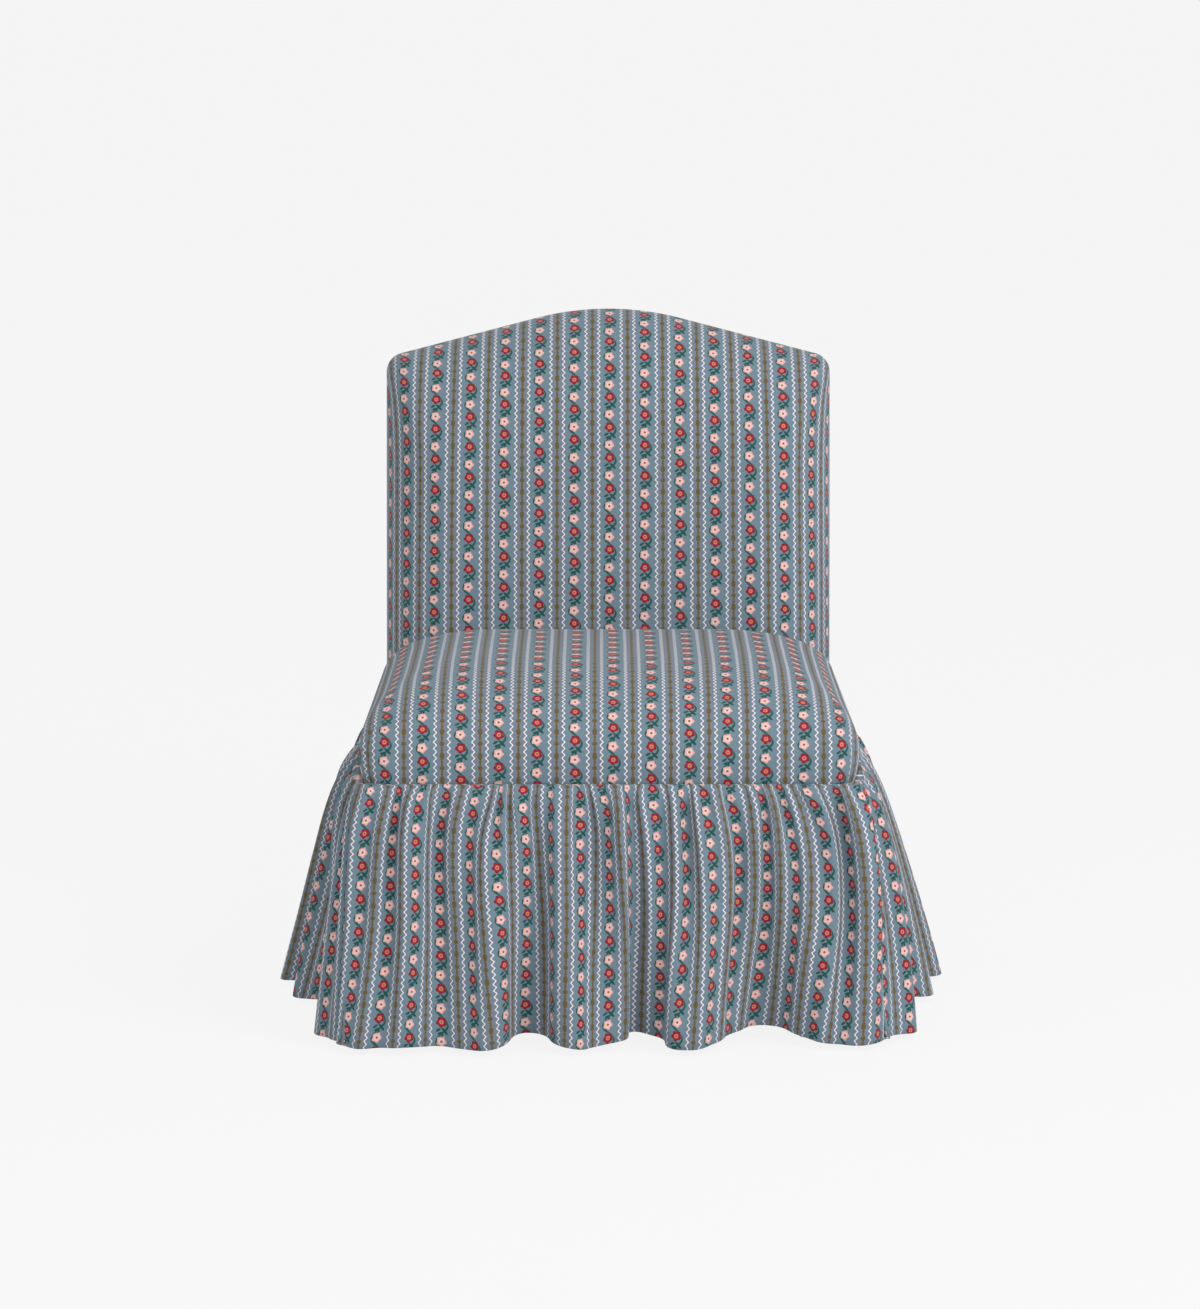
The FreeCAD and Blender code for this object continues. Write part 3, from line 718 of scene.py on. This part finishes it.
def addSeatWall(points, faces, uv, uvs):
    # The wall goes down from the pad's rim to the seam, drawn in a little
    s = seatPad
    columns, rows, depth = s["columns"], s["rows"], s["widest"] - seamZ
    at = indexIn(columns)
    sides = (
        ([at(i, 0) for i in range(columns)], (0.0, -1.0)),
        ([at(columns, j) for j in range(rows)], (1.0, 0.0)),
        ([at(i, rows) for i in range(columns, 0, -1)], (0.0, 1.0)),
        ([at(0, j) for j in range(rows, 0, -1)], (-1.0, 0.0)),
    )
    rim = [k for side, _ in sides for k in side]
    pulls = [way for side, way in sides for _ in side]
    count = len(rim)

    def drawn(n, way, amount):
        return (uv[rim[n]][0] + way[0] * amount, uv[rim[n]][1] + way[1] * amount)
    previous, lastDrop = rim, 0.0
    for step in range(1, s["wallSteps"] + 1):
        share = step / s["wallSteps"]
        tuck, drop = s["drawIn"] * share ** 2, depth * share
        current = []
        for n, k in enumerate(rim):
            x, y, z = points[k]
            a, b = points[rim[n - 1]], points[rim[(n + 1) % count]]
            tx, ty = b[0] - a[0], b[1] - a[1]
            size = math.hypot(tx, ty) or 1.0
            points.append((x - ty / size * tuck, y + tx / size * tuck, z - drop))
            current.append(len(points) - 1)
        faces += ringFaces(previous, current)
        for n, way in enumerate(pulls):
            m = (n + 1) % count
            places = ((n, lastDrop), (n, drop), (m, drop), (m, lastDrop))
            uvs.append([drawn(place, way, amount) for place, amount in places])
        previous, lastDrop = current, drop


def addPullDown(points, faces, uvs):
    # The pull-down runs on under the skirt to the rails
    s = seatPad
    base, ring = len(points), pullDownRing()
    size, reach = len(ring), arcs(ring + ring[:1])
    levels = [s["pullDown"] * level / s["pullSteps"] for level in range(s["pullSteps"] + 1)]
    for level in levels:
        points += [(x, y, seamZ - level) for x, y in ring]
    for row, (high, low) in enumerate(zip(levels, levels[1:])):
        upper = [base + row * size + n for n in range(size)]
        faces += ringFaces(upper, [k + size for k in upper])
        uvs += [[(a, -high), (a, -low), (b, -low), (b, -high)] for a, b in zip(reach, reach[1:])]


def buildSeatCover():
    s = seatPad
    columns, rows = s["columns"], s["rows"]
    spots = []
    for q in edgeDense(rows):
        for p in edgeDense(columns):
            x = seatSide(seatLow.y + q * (s["rear"] - seatLow.y)) * (2 * p - 1)
            spots.append((x, seatFrontY(x) + q * (seatRearY(x) - seatFrontY(x))))
    x, y = np.array(spots).T
    points = list(zip(x, y, seatTops(x, y)))
    shiftU, shiftV = s["patternAt"]
    uv = cutLayout(points, columns, rows, (shiftU, shiftV + s["widest"] - seamZ))
    faces = gridFaces(columns, rows)
    uvs = [[uv[k] for k in face] for face in faces]
    addSeatWall(points, faces, uv, uvs)
    pad = len(points)
    addPullDown(points, faces, uvs)
    # The rear follows the padded face of the back
    place = np.array(points)
    limit = backFaceY(place[:pad, 0], place[:pad, 2]) - s["gap"]
    place[:pad, 1] = np.minimum(place[:pad, 1], limit)
    dartCorners(place[:pad])
    return place, faces, uvs


seatCover = meshFrom("seatCover", *buildSeatCover(), "print")
print("stage: seat cover built")

# The gathered skirt: one long strip of cloth whose gathers open downwards into soft folds

skirtDress = {
    "around": 1500, "down": 42, "downEase": 1.3, "loopPoints": 2400, "cloth": 3.55,
    "topInset": 0.0010, "topOut": 0.0030, "hemInset": 0.016, "hemRear": 0.3475, "rearHalf": 0.376,
    "hemCornerLeft": (-0.352, -0.366), "hemCornerRight": (0.373, -0.334),
    "hemBow": 0.032, "sideBow": 0.060, "sideLean": 1.4, "puff": 0.22, "puffDrop": 0.030,
    "foldStart": 0.05, "foldGrowth": 1.15, "hemLift": 0.011, "liftDepth": 0.06,
    "seamMean": 50, "hemMean": 90, "depthMean": 30, "seamSlack": 0.0002, "calm": 0.82,
    "turnUp": ((0.0005, -0.0004), (0.0010, 0.0003), (0.0010, 0.005)), "turnLength": 0.0015,
    "tuck": ((0.0012, 0.0007), (0.0050, 0.0008)),
}
# Hollows as (share along the hem, depth), with the crests between them
hemFolds = {
    "front": (
        ((0.0, 0.02), (0.150, 0.014), (0.346, 0.055), (0.530, 0.058), (0.761, 0.066), (1.0, 0.012)),
        (0.07, 0.269, 0.445, 0.598, 0.865),
    ),
    "side": (
        ((0.0, 0.02), (0.30, 0.045), (0.47, 0.030), (0.67, 0.045), (0.90, 0.04), (1.0, 0.02)),
        (0.14, 0.40, 0.57, 0.79, 0.97),
    ),
    "rear": (
        ((0.0, 0.02), (0.14, 0.03), (0.33, 0.05), (0.52, 0.045), (0.70, 0.055), (1.0, 0.02)),
        (0.06, 0.23, 0.43, 0.61, 0.86),
    ),
}
# Three sets of waves round the cloth, as (seed, fewest, most, count), and how they give way downwards
skirtGathers = {
    "fine": (11, 105, 165, 16), "middle": (23, 38, 84, 16), "wide": (37, 18, 36, 9),
    "fineFade": 0.045, "middleCut": 0.62, "looseCut": 0.7, "wideShare": 0.6,
    "steepest": 1.42, "softness": 1.1, "mostTilt": 2.2, "forwardMean": 121, "sidewaysMean": 101,
    "wayMean": 15, "seamShare": 0.22, "openBy": 0.025, "inwardGrowth": 0.35,
}


def hollowDepth(share, hollows, crests):
    # Zero on each crest, easing to a hollow's own depth between two.
    marks = []
    for n, (place, depth) in enumerate(hollows):
        marks.append((place, depth))
        if n < len(crests):
            marks.append((crests[n], 0.0))
    for (a, da), (b, db) in zip(marks, marks[1:]):
        if share <= b:
            ease = (1 - math.cos(math.pi * (share - a) / (b - a))) / 2
            return da + (db - da) * ease
    return 0.0


def leaning(share, lean):
    if lean < 0:
        return math.sin(math.pi * (1 - share) ** -lean)
    return math.sin(math.pi * share ** lean)


def circular(values, width):
    # A running mean round the loop, with soft ends.
    kernel = np.hanning(width + 2)[1:-1]
    kernel /= kernel.sum()
    reach = len(kernel)
    wrapped = np.concatenate([values[-reach:], values, values[:reach]])
    return np.stack([np.convolve(column, kernel, "same")[reach:-reach] for column in wrapped.T], axis=1)


def loopLength(points):
    return np.linalg.norm(np.diff(np.vstack([points, points[:1]]), axis=0), axis=1)


def skirtLoops():
    # The seam's loop and the hem's loop in plan, and how deep each place of the hem folds in
    s = skirtDress
    sideTop, sideRear = seatSide(seatLow.y) - s["topInset"], seatSide(tapeHigh.y) - s["topInset"]
    frontY, endY = tapeLow.y - s["topOut"], tapeHigh.y + s["topOut"]
    top = [(-sideTop, frontY), (sideTop, frontY), (sideRear, endY), (-sideRear, endY)]
    hem = [
        s["hemCornerLeft"], s["hemCornerRight"],
        (s["rearHalf"], s["hemRear"]), (-s["rearHalf"], s["hemRear"]),
    ]
    hollows, crests = hemFolds["side"]
    mirrored = (
        [(1 - place, depth) for place, depth in reversed(hollows)], [1 - place for place in reversed(crests)],
    )
    folds = [hemFolds["front"], hemFolds["side"], hemFolds["rear"], mirrored]
    bows = [s["hemBow"], s["sideBow"], s["hemBow"], s["sideBow"]]
    leans = [1, s["sideLean"], 1, -s["sideLean"]]
    sides = [math.dist(hem[i], hem[(i + 1) % 4]) for i in range(4)]
    ends = np.cumsum(sides) / sum(sides)
    starts = np.append(0.0, ends[:-1])
    topLoop, hemLoop, depth = [], [], []
    for share in (np.arange(s["loopPoints"]) + 0.5) / s["loopPoints"]:
        k = int(np.searchsorted(ends, share))
        t = (share - starts[k]) / (ends[k] - starts[k])
        a, b, c, d = map(np.array, (top[k], top[(k + 1) % 4], hem[k], hem[(k + 1) % 4]))
        along = (d - c) / np.linalg.norm(d - c)
        outwards = np.array((along[1], -along[0]))
        topLoop.append(a + (b - a) * t)
        hemLoop.append(c + (d - c) * t + outwards * (bows[k] * leaning(t, leans[k]) - s["hemInset"]))
        depth.append((hollowDepth(t, *folds[k]),))
    topLoop, hemLoop = circular(np.array(topLoop), s["seamMean"]), circular(np.array(hemLoop), s["hemMean"])
    return topLoop, hemLoop, circular(np.array(depth), s["depthMean"])[:, 0]


def outwardWays(loop):
    tangent = np.roll(loop, -3, axis=0) - np.roll(loop, 3, axis=0)
    tangent /= np.linalg.norm(tangent, axis=1)[:, None]
    return np.stack([tangent[:, 1], -tangent[:, 0]], axis=1)


def skirtWaves(cloth, seed, low, high, count):
    # An even wandering signal round the cloth, made of seeded waves.
    rng = random.Random(seed)
    total = np.zeros_like(cloth)
    for _ in range(count):
        waves = rng.randint(low, high)
        total += np.sin(2 * math.pi * waves * cloth + rng.uniform(0, 2 * math.pi))
    return total / math.sqrt(count / 2)


def gatherAngles(drop, total, waves):
    # The cloth's turn away from the loop at each column, just steep enough for its whole length to fit
    g = skirtGathers
    fine = math.exp(-drop / g["fineFade"])
    middle = (1 - g["middleCut"] * fine) * (1 - g["looseCut"] * drop / skirtDrop)
    mixed = fine * waves[0] + middle * waves[1] + (1 - fine) * waves[2] * g["wideShare"]
    low, high = 0.0, g["mostTilt"]
    for _ in range(24):
        half = (low + high) / 2
        angle = g["steepest"] * np.tanh(half * mixed / g["softness"])
        if np.cos(angle).mean() * skirtDress["cloth"] > total:
            low = half
        else:
            high = half
    return angle


def skirtLevel(drop, loops, waves, cloth):
    s, g = skirtDress, skirtGathers
    topLoop, hemLoop, depth = loops
    share = s["puff"] * (1 - math.exp(-drop / s["puffDrop"])) + (1 - s["puff"]) * drop / skirtDrop
    share /= s["puff"] * (1 - math.exp(-skirtDrop / s["puffDrop"])) + 1 - s["puff"]
    base = topLoop + (hemLoop - topLoop) * share
    grown = max(0.0, (drop - s["foldStart"]) / (skirtDrop - s["foldStart"])) ** s["foldGrowth"]
    base = base - outwardWays(base) * (depth * grown)[:, None]
    reach = np.append(0.0, np.cumsum(loopLength(base)))
    total = reach[-1]
    angle = gatherAngles(drop, total, waves)
    piece = s["cloth"] / len(cloth)
    # Slow drifts are taken out both ways, so that stripes hang straight
    forward = np.cumsum(np.cos(angle)) * piece
    even = cloth * total
    forward = forward * total / forward[-1] - even
    forward += even - circular(forward[:, None], g["forwardMean"])[:, 0]
    sideways = np.cumsum(np.sin(angle) - np.sin(angle).mean()) * piece
    sideways -= circular(sideways[:, None], g["sidewaysMean"])[:, 0]
    sideways *= s["calm"] * (g["seamShare"] + (1 - g["seamShare"]) * min(1.0, drop / g["openBy"]))
    sideways = np.maximum(sideways, -s["seamSlack"] - g["inwardGrowth"] * drop)
    closed = np.vstack([base, base[:1]])
    line = np.stack([np.interp(forward, reach, closed[:, axis]) for axis in (0, 1)], axis=1)
    ways = circular(outwardWays(line), g["wayMean"])
    ways /= np.linalg.norm(ways, axis=1)[:, None]
    lift = np.interp(forward, reach[:-1], depth) / s["liftDepth"] * grown * s["hemLift"]
    return line + ways * sideways[:, None], ways, lift


def tuckedIn(loop, inwards, count):
    # The seam's loop moved inwards, with as many points as the cloth has columns
    moved = loop - outwardWays(loop) * inwards
    at = (np.arange(count) + 0.5) / count * len(moved)
    closed = np.vstack([moved, moved[:1]])
    steps = np.arange(len(closed))
    return np.stack([np.interp(at, steps, closed[:, axis]) for axis in (0, 1)], axis=1)


def buildSkirt():
    s = skirtDress
    around = s["around"]
    cloth = (np.arange(around) + 0.5) / around
    loops = skirtLoops()
    waves = [skirtWaves(cloth, *skirtGathers[size]) for size in ("fine", "middle", "wide")]
    drops = [skirtDrop * (r / s["down"]) ** s["downEase"] for r in range(s["down"] + 1)]
    rows, heights = [], []
    for drop in drops:
        place, ways, lift = skirtLevel(drop, loops, waves, cloth)
        rows.append(place)
        heights.append(skirtHigh.z - drop + lift)
    down = [0.0]
    for a, b, highA, highB in zip(rows, rows[1:], heights, heights[1:]):
        down.append(down[-1] + np.hypot(np.linalg.norm(b - a, axis=1), highA - highB).mean())
    # The hem is turned up inside
    for inwards, rise in s["turnUp"]:
        rows.append(place - ways * inwards)
        heights.append(skirtHigh.z - drops[-1] + lift + rise)
        down.append(down[len(drops) - 1] + s["turnLength"] + max(rise, 0.0))
    # Its top edge is tucked over the tape, under the seat
    for n, (inwards, rise) in enumerate(s["tuck"]):
        rows.insert(0, tuckedIn(loops[0], inwards, around))
        heights.insert(0, heights[n] + rise)
        down.insert(0, -inwards)
    points = np.concatenate([np.column_stack([row, height]) for row, height in zip(rows, heights)])
    faces, uvs = [], []
    for r in range(len(rows) - 1):
        upper = [r * around + i for i in range(around)]
        faces += ringFaces(upper, [k + around for k in upper])
        for i in range(around):
            u0, u1 = s["cloth"] * i / around, s["cloth"] * (i + 1) / around
            uvs.append([(u0, -down[r]), (u0, -down[r + 1]), (u1, -down[r + 1]), (u1, -down[r])])
    return points, faces, uvs


skirtDrop = skirtHigh.z - skirtLow.z
skirt = meshFrom("skirtCloth", *buildSkirt(), "print")
print("stage: skirt built from", len(skirt.data.vertices), "points")

# The outside back panel keeps its solid's place, with the print running up it

outsidePanel = {
    "columns": 70, "rows": 60, "rowEase": 1.5, "inset": 0.0012, "crown": 0.0012, "edge": 0.012, "turn": 0.004,
    "behind": 0.0004,
}


def buildOutsideBack():
    # A panel sewn on just inside the rim, a little full over its wadding
    o = outsidePanel
    columns, rows = o["columns"], o["rows"]
    points, uv = [], []
    shares = edgeDense(columns)
    for j in range(rows + 1):
        for p in shares:
            x = (backHalf - o["inset"]) * (2 * p - 1)
            top = backTop(x) - o["inset"]
            w = top * (1 - (1 - j / rows) ** o["rowEase"])
            fromEdge = min(backHalf - abs(x), top + o["inset"] - w)
            full = o["crown"] * (1 - math.exp(-fromEdge / o["edge"]))
            points.append(onBack(x, o["behind"] - full, w))
            uv.append((x + backPad["patternAt"][0], w + backPad["patternAt"][1]))
    faces = gridFaces(columns, rows, flipped=True)
    uvs = [[uv[k] for k in face] for face in faces]
    # The panel's edge is turned in
    rim, first = archRim(columns, rows), len(points)
    for k in rim:
        x, y, z = points[k]
        points.append((x, y - o["turn"] * cosTilt, z + o["turn"] * sinTilt))
    for n in range(len(rim) - 1):
        faces.append((rim[n], first + n, first + n + 1, rim[n + 1]))
        uvs.append([uv[rim[n]], uv[rim[n]], uv[rim[n + 1]], uv[rim[n + 1]]])
    return points, faces, uvs


outsideBack = meshFrom("outsideBack", *buildOutsideBack(), "print")
print("stage: outside back built")

# The dust cover sags a little between its staples

dustCloth = {
    "sag": 0.004, "edge": 0.07, "wrinkle": 0.0008, "longest": 0.022, "waves": (61.0, 37.0, 2.0),
}


def buildDustCover():
    d = dustCloth
    mesh = nodes["dust_cover"].data.copy()
    work = bmesh.new()
    work.from_mesh(mesh)
    bmesh.ops.remove_doubles(work, verts=work.verts, dist=1e-6)
    bmesh.ops.dissolve_limit(work, angle_limit=0.01, verts=work.verts, edges=work.edges)
    bmesh.ops.triangulate(work, faces=work.faces)
    for _ in range(6):
        long = [edge for edge in work.edges if edge.calc_length() > d["longest"]]
        if not long:
            break
        bmesh.ops.subdivide_edges(work, edges=long, cuts=1)
        bmesh.ops.triangulate(work, faces=work.faces)
    along, across, bend = d["waves"]
    for vert in work.verts:
        x, y, z = vert.co
        inside = min(dustHigh.x - abs(x), y - dustLow.y, dustHigh.y - y)
        fall = d["sag"] * (1 - math.exp(-max(0.0, inside) / d["edge"]))
        ripple = math.sin(x * along + math.sin(y * across) * bend)
        fall += d["wrinkle"] * ripple * min(1.0, inside / d["edge"])
        vert.co.z = z - max(0.0, fall)
    bmesh.ops.recalc_face_normals(work, faces=work.faces)
    work.to_mesh(mesh)
    work.free()
    mesh.materials.clear()
    mesh.materials.append(materials["dust"])
    return linked("dustCloth", mesh)


dustLow, dustHigh = lowHigh("dust_cover")
dustPiece = buildDustCover()
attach(dustPiece, "root")
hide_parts("dust_cover")
print("stage: dust cover built")

# Staples along the dust cover's edge, placed by Geometry Nodes

stapleSizes = {
    "width": 0.010, "wire": 0.0012, "legDeep": 2.2, "pitch": 0.034, "inset": 0.010, "turn": 0.18, "seed": 7,
}


def stapleMesh():
    # A crown and two short legs
    width, wire = stapleSizes["width"], stapleSizes["wire"]
    legDeep = wire * stapleSizes["legDeep"]
    work = bmesh.new()
    for x, length, deep in ((0.0, width, wire), (-width / 2, wire, legDeep), (width / 2, wire, legDeep)):
        made = bmesh.ops.create_cube(work, size=1.0)["verts"]
        bmesh.ops.scale(work, verts=made, vec=(length, wire, deep))
        bmesh.ops.translate(work, verts=made, vec=(x, 0.0, deep / 2 - wire))
    mesh = bpy.data.meshes.new("stapleShape")
    work.to_mesh(mesh)
    work.free()
    return mesh


def stapleTree(shape):
    tree = bpy.data.node_groups.new("stapleRow", "GeometryNodeTree")
    tree.interface.new_socket("Geometry", in_out="INPUT", socket_type="NodeSocketGeometry")
    keys = {}
    for label, kind in (("Pitch", "NodeSocketFloat"), ("Turn", "NodeSocketFloat"), ("Seed", "NodeSocketInt")):
        keys[label.lower()] = tree.interface.new_socket(label, in_out="INPUT", socket_type=kind).identifier
    tree.interface.new_socket("Geometry", in_out="OUTPUT", socket_type="NodeSocketGeometry")
    w = Wires(tree)
    start, end = w.add("NodeGroupInput"), w.add("NodeGroupOutput")
    line = w.add("GeometryNodeMeshToCurve")
    w.put(start.outputs["Geometry"], line.inputs["Mesh"])
    spaced = w.add("GeometryNodeResampleCurve", mode="LENGTH")
    w.put(line.outputs[0], spaced.inputs["Curve"])
    w.put(start.outputs["Pitch"], spaced.inputs["Length"])
    tangent = w.add("GeometryNodeInputTangent").outputs[0]
    aligned = w.add("FunctionNodeAlignEulerToVector", axis="X", pivot_axis="Z")
    w.put(tangent, aligned.inputs["Vector"])
    loose = w.add("FunctionNodeRandomValue", data_type="FLOAT")
    w.put(w.times(start.outputs["Turn"], -1.0), loose.inputs[2])
    w.put(start.outputs["Turn"], loose.inputs[3])
    w.put(start.outputs["Seed"], loose.inputs["Seed"])
    spin = w.add("ShaderNodeCombineXYZ")
    w.put(loose.outputs[1], spin.inputs[2])
    turned = w.vectorSum(aligned.outputs[0], spin.outputs[0])
    source = w.add("GeometryNodeObjectInfo")
    source.inputs["Object"].default_value = shape
    placed = w.add("GeometryNodeInstanceOnPoints")
    w.put(spaced.outputs[0], placed.inputs["Points"])
    w.put(source.outputs["Geometry"], placed.inputs["Instance"])
    w.put(turned, placed.inputs["Rotation"])
    real = w.add("GeometryNodeRealizeInstances")
    w.put(placed.outputs[0], real.inputs[0])
    dressed = w.add("GeometryNodeSetMaterial")
    dressed.inputs["Material"].default_value = materials["zinc"]
    w.put(real.outputs[0], dressed.inputs["Geometry"])
    w.put(dressed.outputs[0], end.inputs[0])
    return tree, keys


def buildStaples():
    shape = linked("stapleShape", stapleMesh())
    inset, z = stapleSizes["inset"], dustLow.z
    legLow, legHigh = lowHigh("front_leg_right")
    postLow = lowHigh("back_post_right")[0]
    side, notch, stops = dustHigh.x - inset, legLow.x - inset, postLow.x - inset
    rearSide = seatSide(dustHigh.y) - (seatHigh.x - dustHigh.x) - inset
    front, rear = dustLow.y + inset, dustHigh.y - inset
    sideFront, sideRear = legHigh.y + inset, postLow.y - 2 * inset
    points = [
        (-notch, front, z), (notch, front, z), (side, sideFront, z), (rearSide, sideRear, z),
        (stops, rear, z), (-stops, rear, z), (-rearSide, sideRear, z), (-side, sideFront, z),
    ]
    mesh = bpy.data.meshes.new("stapleLine")
    mesh.from_pydata(points, [(n, n + 1) for n in range(0, len(points), 2)], [])
    line = linked("stapleLine", mesh)
    rows = line.modifiers.new("rows", "NODES")
    rows.node_group, keys = stapleTree(shape)
    for name, key in keys.items():
        rows[key] = stapleSizes[name]
    graph = bpy.context.evaluated_depsgraph_get()
    made = bpy.data.meshes.new_from_object(line.evaluated_get(graph))
    bpy.data.objects.remove(line)
    bpy.data.objects.remove(shape)
    return linked("dustCoverStaples", made)


staples = buildStaples()
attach(staples, "root")
print("stage: staples placed,", len(staples.data.polygons), "faces")

# The printed pieces ride on the root body, in place of the frame's covers, which are hidden

for piece in (backCover, seatCover, skirt, outsideBack):
    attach(piece, "root")
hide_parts("back_cover")
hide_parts("seat_cover")
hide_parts("skirt")
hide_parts("outside_back_panel")

# Camera, floor and light

view = {
    "distance": 6.0, "elevation": math.radians(9.0), "target": (-0.0107, 0.0, 0.4289), "focalPixels": 4788.0,
    "imageLong": 1309.0, "sensor": 36.0, "farthest": 1000.0, "floorSize": 400.0,
}
studio = {"floorGlow": 0.92, "floorColor": 0.8, "worldStrength": 0.50, "aim": (0.0, 0.0, 0.4)}
lamps = {
    "keyLight": {"location": (2.2, -2.4, 2.6), "size": 1.6, "power": 80.0},
    "fillLight": {"location": (-2.0, -2.6, 1.9), "size": 1.8, "power": 14.0},
}


def placeCamera():
    camera = linked("camera", bpy.data.cameras.new("camera"))
    back = Vector((0.0, -math.cos(view["elevation"]), math.sin(view["elevation"])))
    camera.location = Vector(view["target"]) + back * view["distance"]
    camera.rotation_euler = (math.pi / 2 - view["elevation"], 0.0, 0.0)
    camera.data.sensor_width = view["sensor"]
    camera.data.lens = view["focalPixels"] / view["imageLong"] * view["sensor"]
    camera.data.clip_end = view["farthest"]
    bpy.context.scene.camera = camera


def seenRays(w):
    # One where a ray comes from the camera, a reflection or something clear
    path = w.add("ShaderNodeLightPath")
    return w.most(*[path.outputs["Is %s Ray" % kind] for kind in ("Camera", "Glossy", "Transmission")])


def mixedOut(w, share, first, second, kind):
    # A share of the second shader over the first, wired to the tree's end
    mixed, out = w.add("ShaderNodeMixShader"), w.add(kind)
    for socket, value in zip(mixed.inputs, (share, first.outputs[0], second.outputs[0])):
        w.put(value, socket)
    w.put(mixed.outputs[0], out.inputs[0])


def backdropMaterial():
    material = bpy.data.materials.new("paleFloor")
    w = clearedTree(material)
    diffuse = w.add("ShaderNodeBsdfDiffuse")
    diffuse.inputs["Color"].default_value = (studio["floorColor"],) * 3 + (1.0,)
    glow = w.add("ShaderNodeEmission")
    glow.inputs["Color"].default_value = fromSrgb(250, 250, 250)
    seen = seenRays(w)
    mixedOut(w, w.times(seen, studio["floorGlow"]), diffuse, glow, "ShaderNodeOutputMaterial")
    return material


def placeFloor():
    bpy.ops.mesh.primitive_plane_add(size=view["floorSize"], location=(0.0, 0.0, 0.0))
    floor = bpy.context.object
    floor.name = "floor"
    floor.data.materials.append(backdropMaterial())


def placeLight(name, location, size, power):
    data = bpy.data.lights.new(name, "AREA")
    data.shape = "RECTANGLE"
    data.size = data.size_y = size
    data.energy = power
    lamp = linked(name, data)
    lamp.location = location
    lamp.rotation_euler = (Vector(studio["aim"]) - Vector(location)).to_track_quat("-Z", "Y").to_euler()


def lightWorld():
    world = bpy.data.worlds.new("studio")
    bpy.context.scene.world = world
    w = clearedTree(world)
    seen = seenRays(w)
    dim = w.add("ShaderNodeBackground")
    dim.inputs["Color"].default_value = (1.0, 1.0, 1.0, 1.0)
    dim.inputs["Strength"].default_value = studio["worldStrength"]
    shown = w.add("ShaderNodeBackground")
    shown.inputs["Color"].default_value = fromSrgb(248, 248, 248)
    shown.inputs["Strength"].default_value = 1.0
    mixedOut(w, seen, dim, shown, "ShaderNodeOutputWorld")


placeCamera()
placeFloor()
lightWorld()
for name, lamp in lamps.items():
    placeLight(name, **lamp)
bpy.context.scene.view_settings.view_transform = "Standard"
print("stage: camera, floor and light placed")
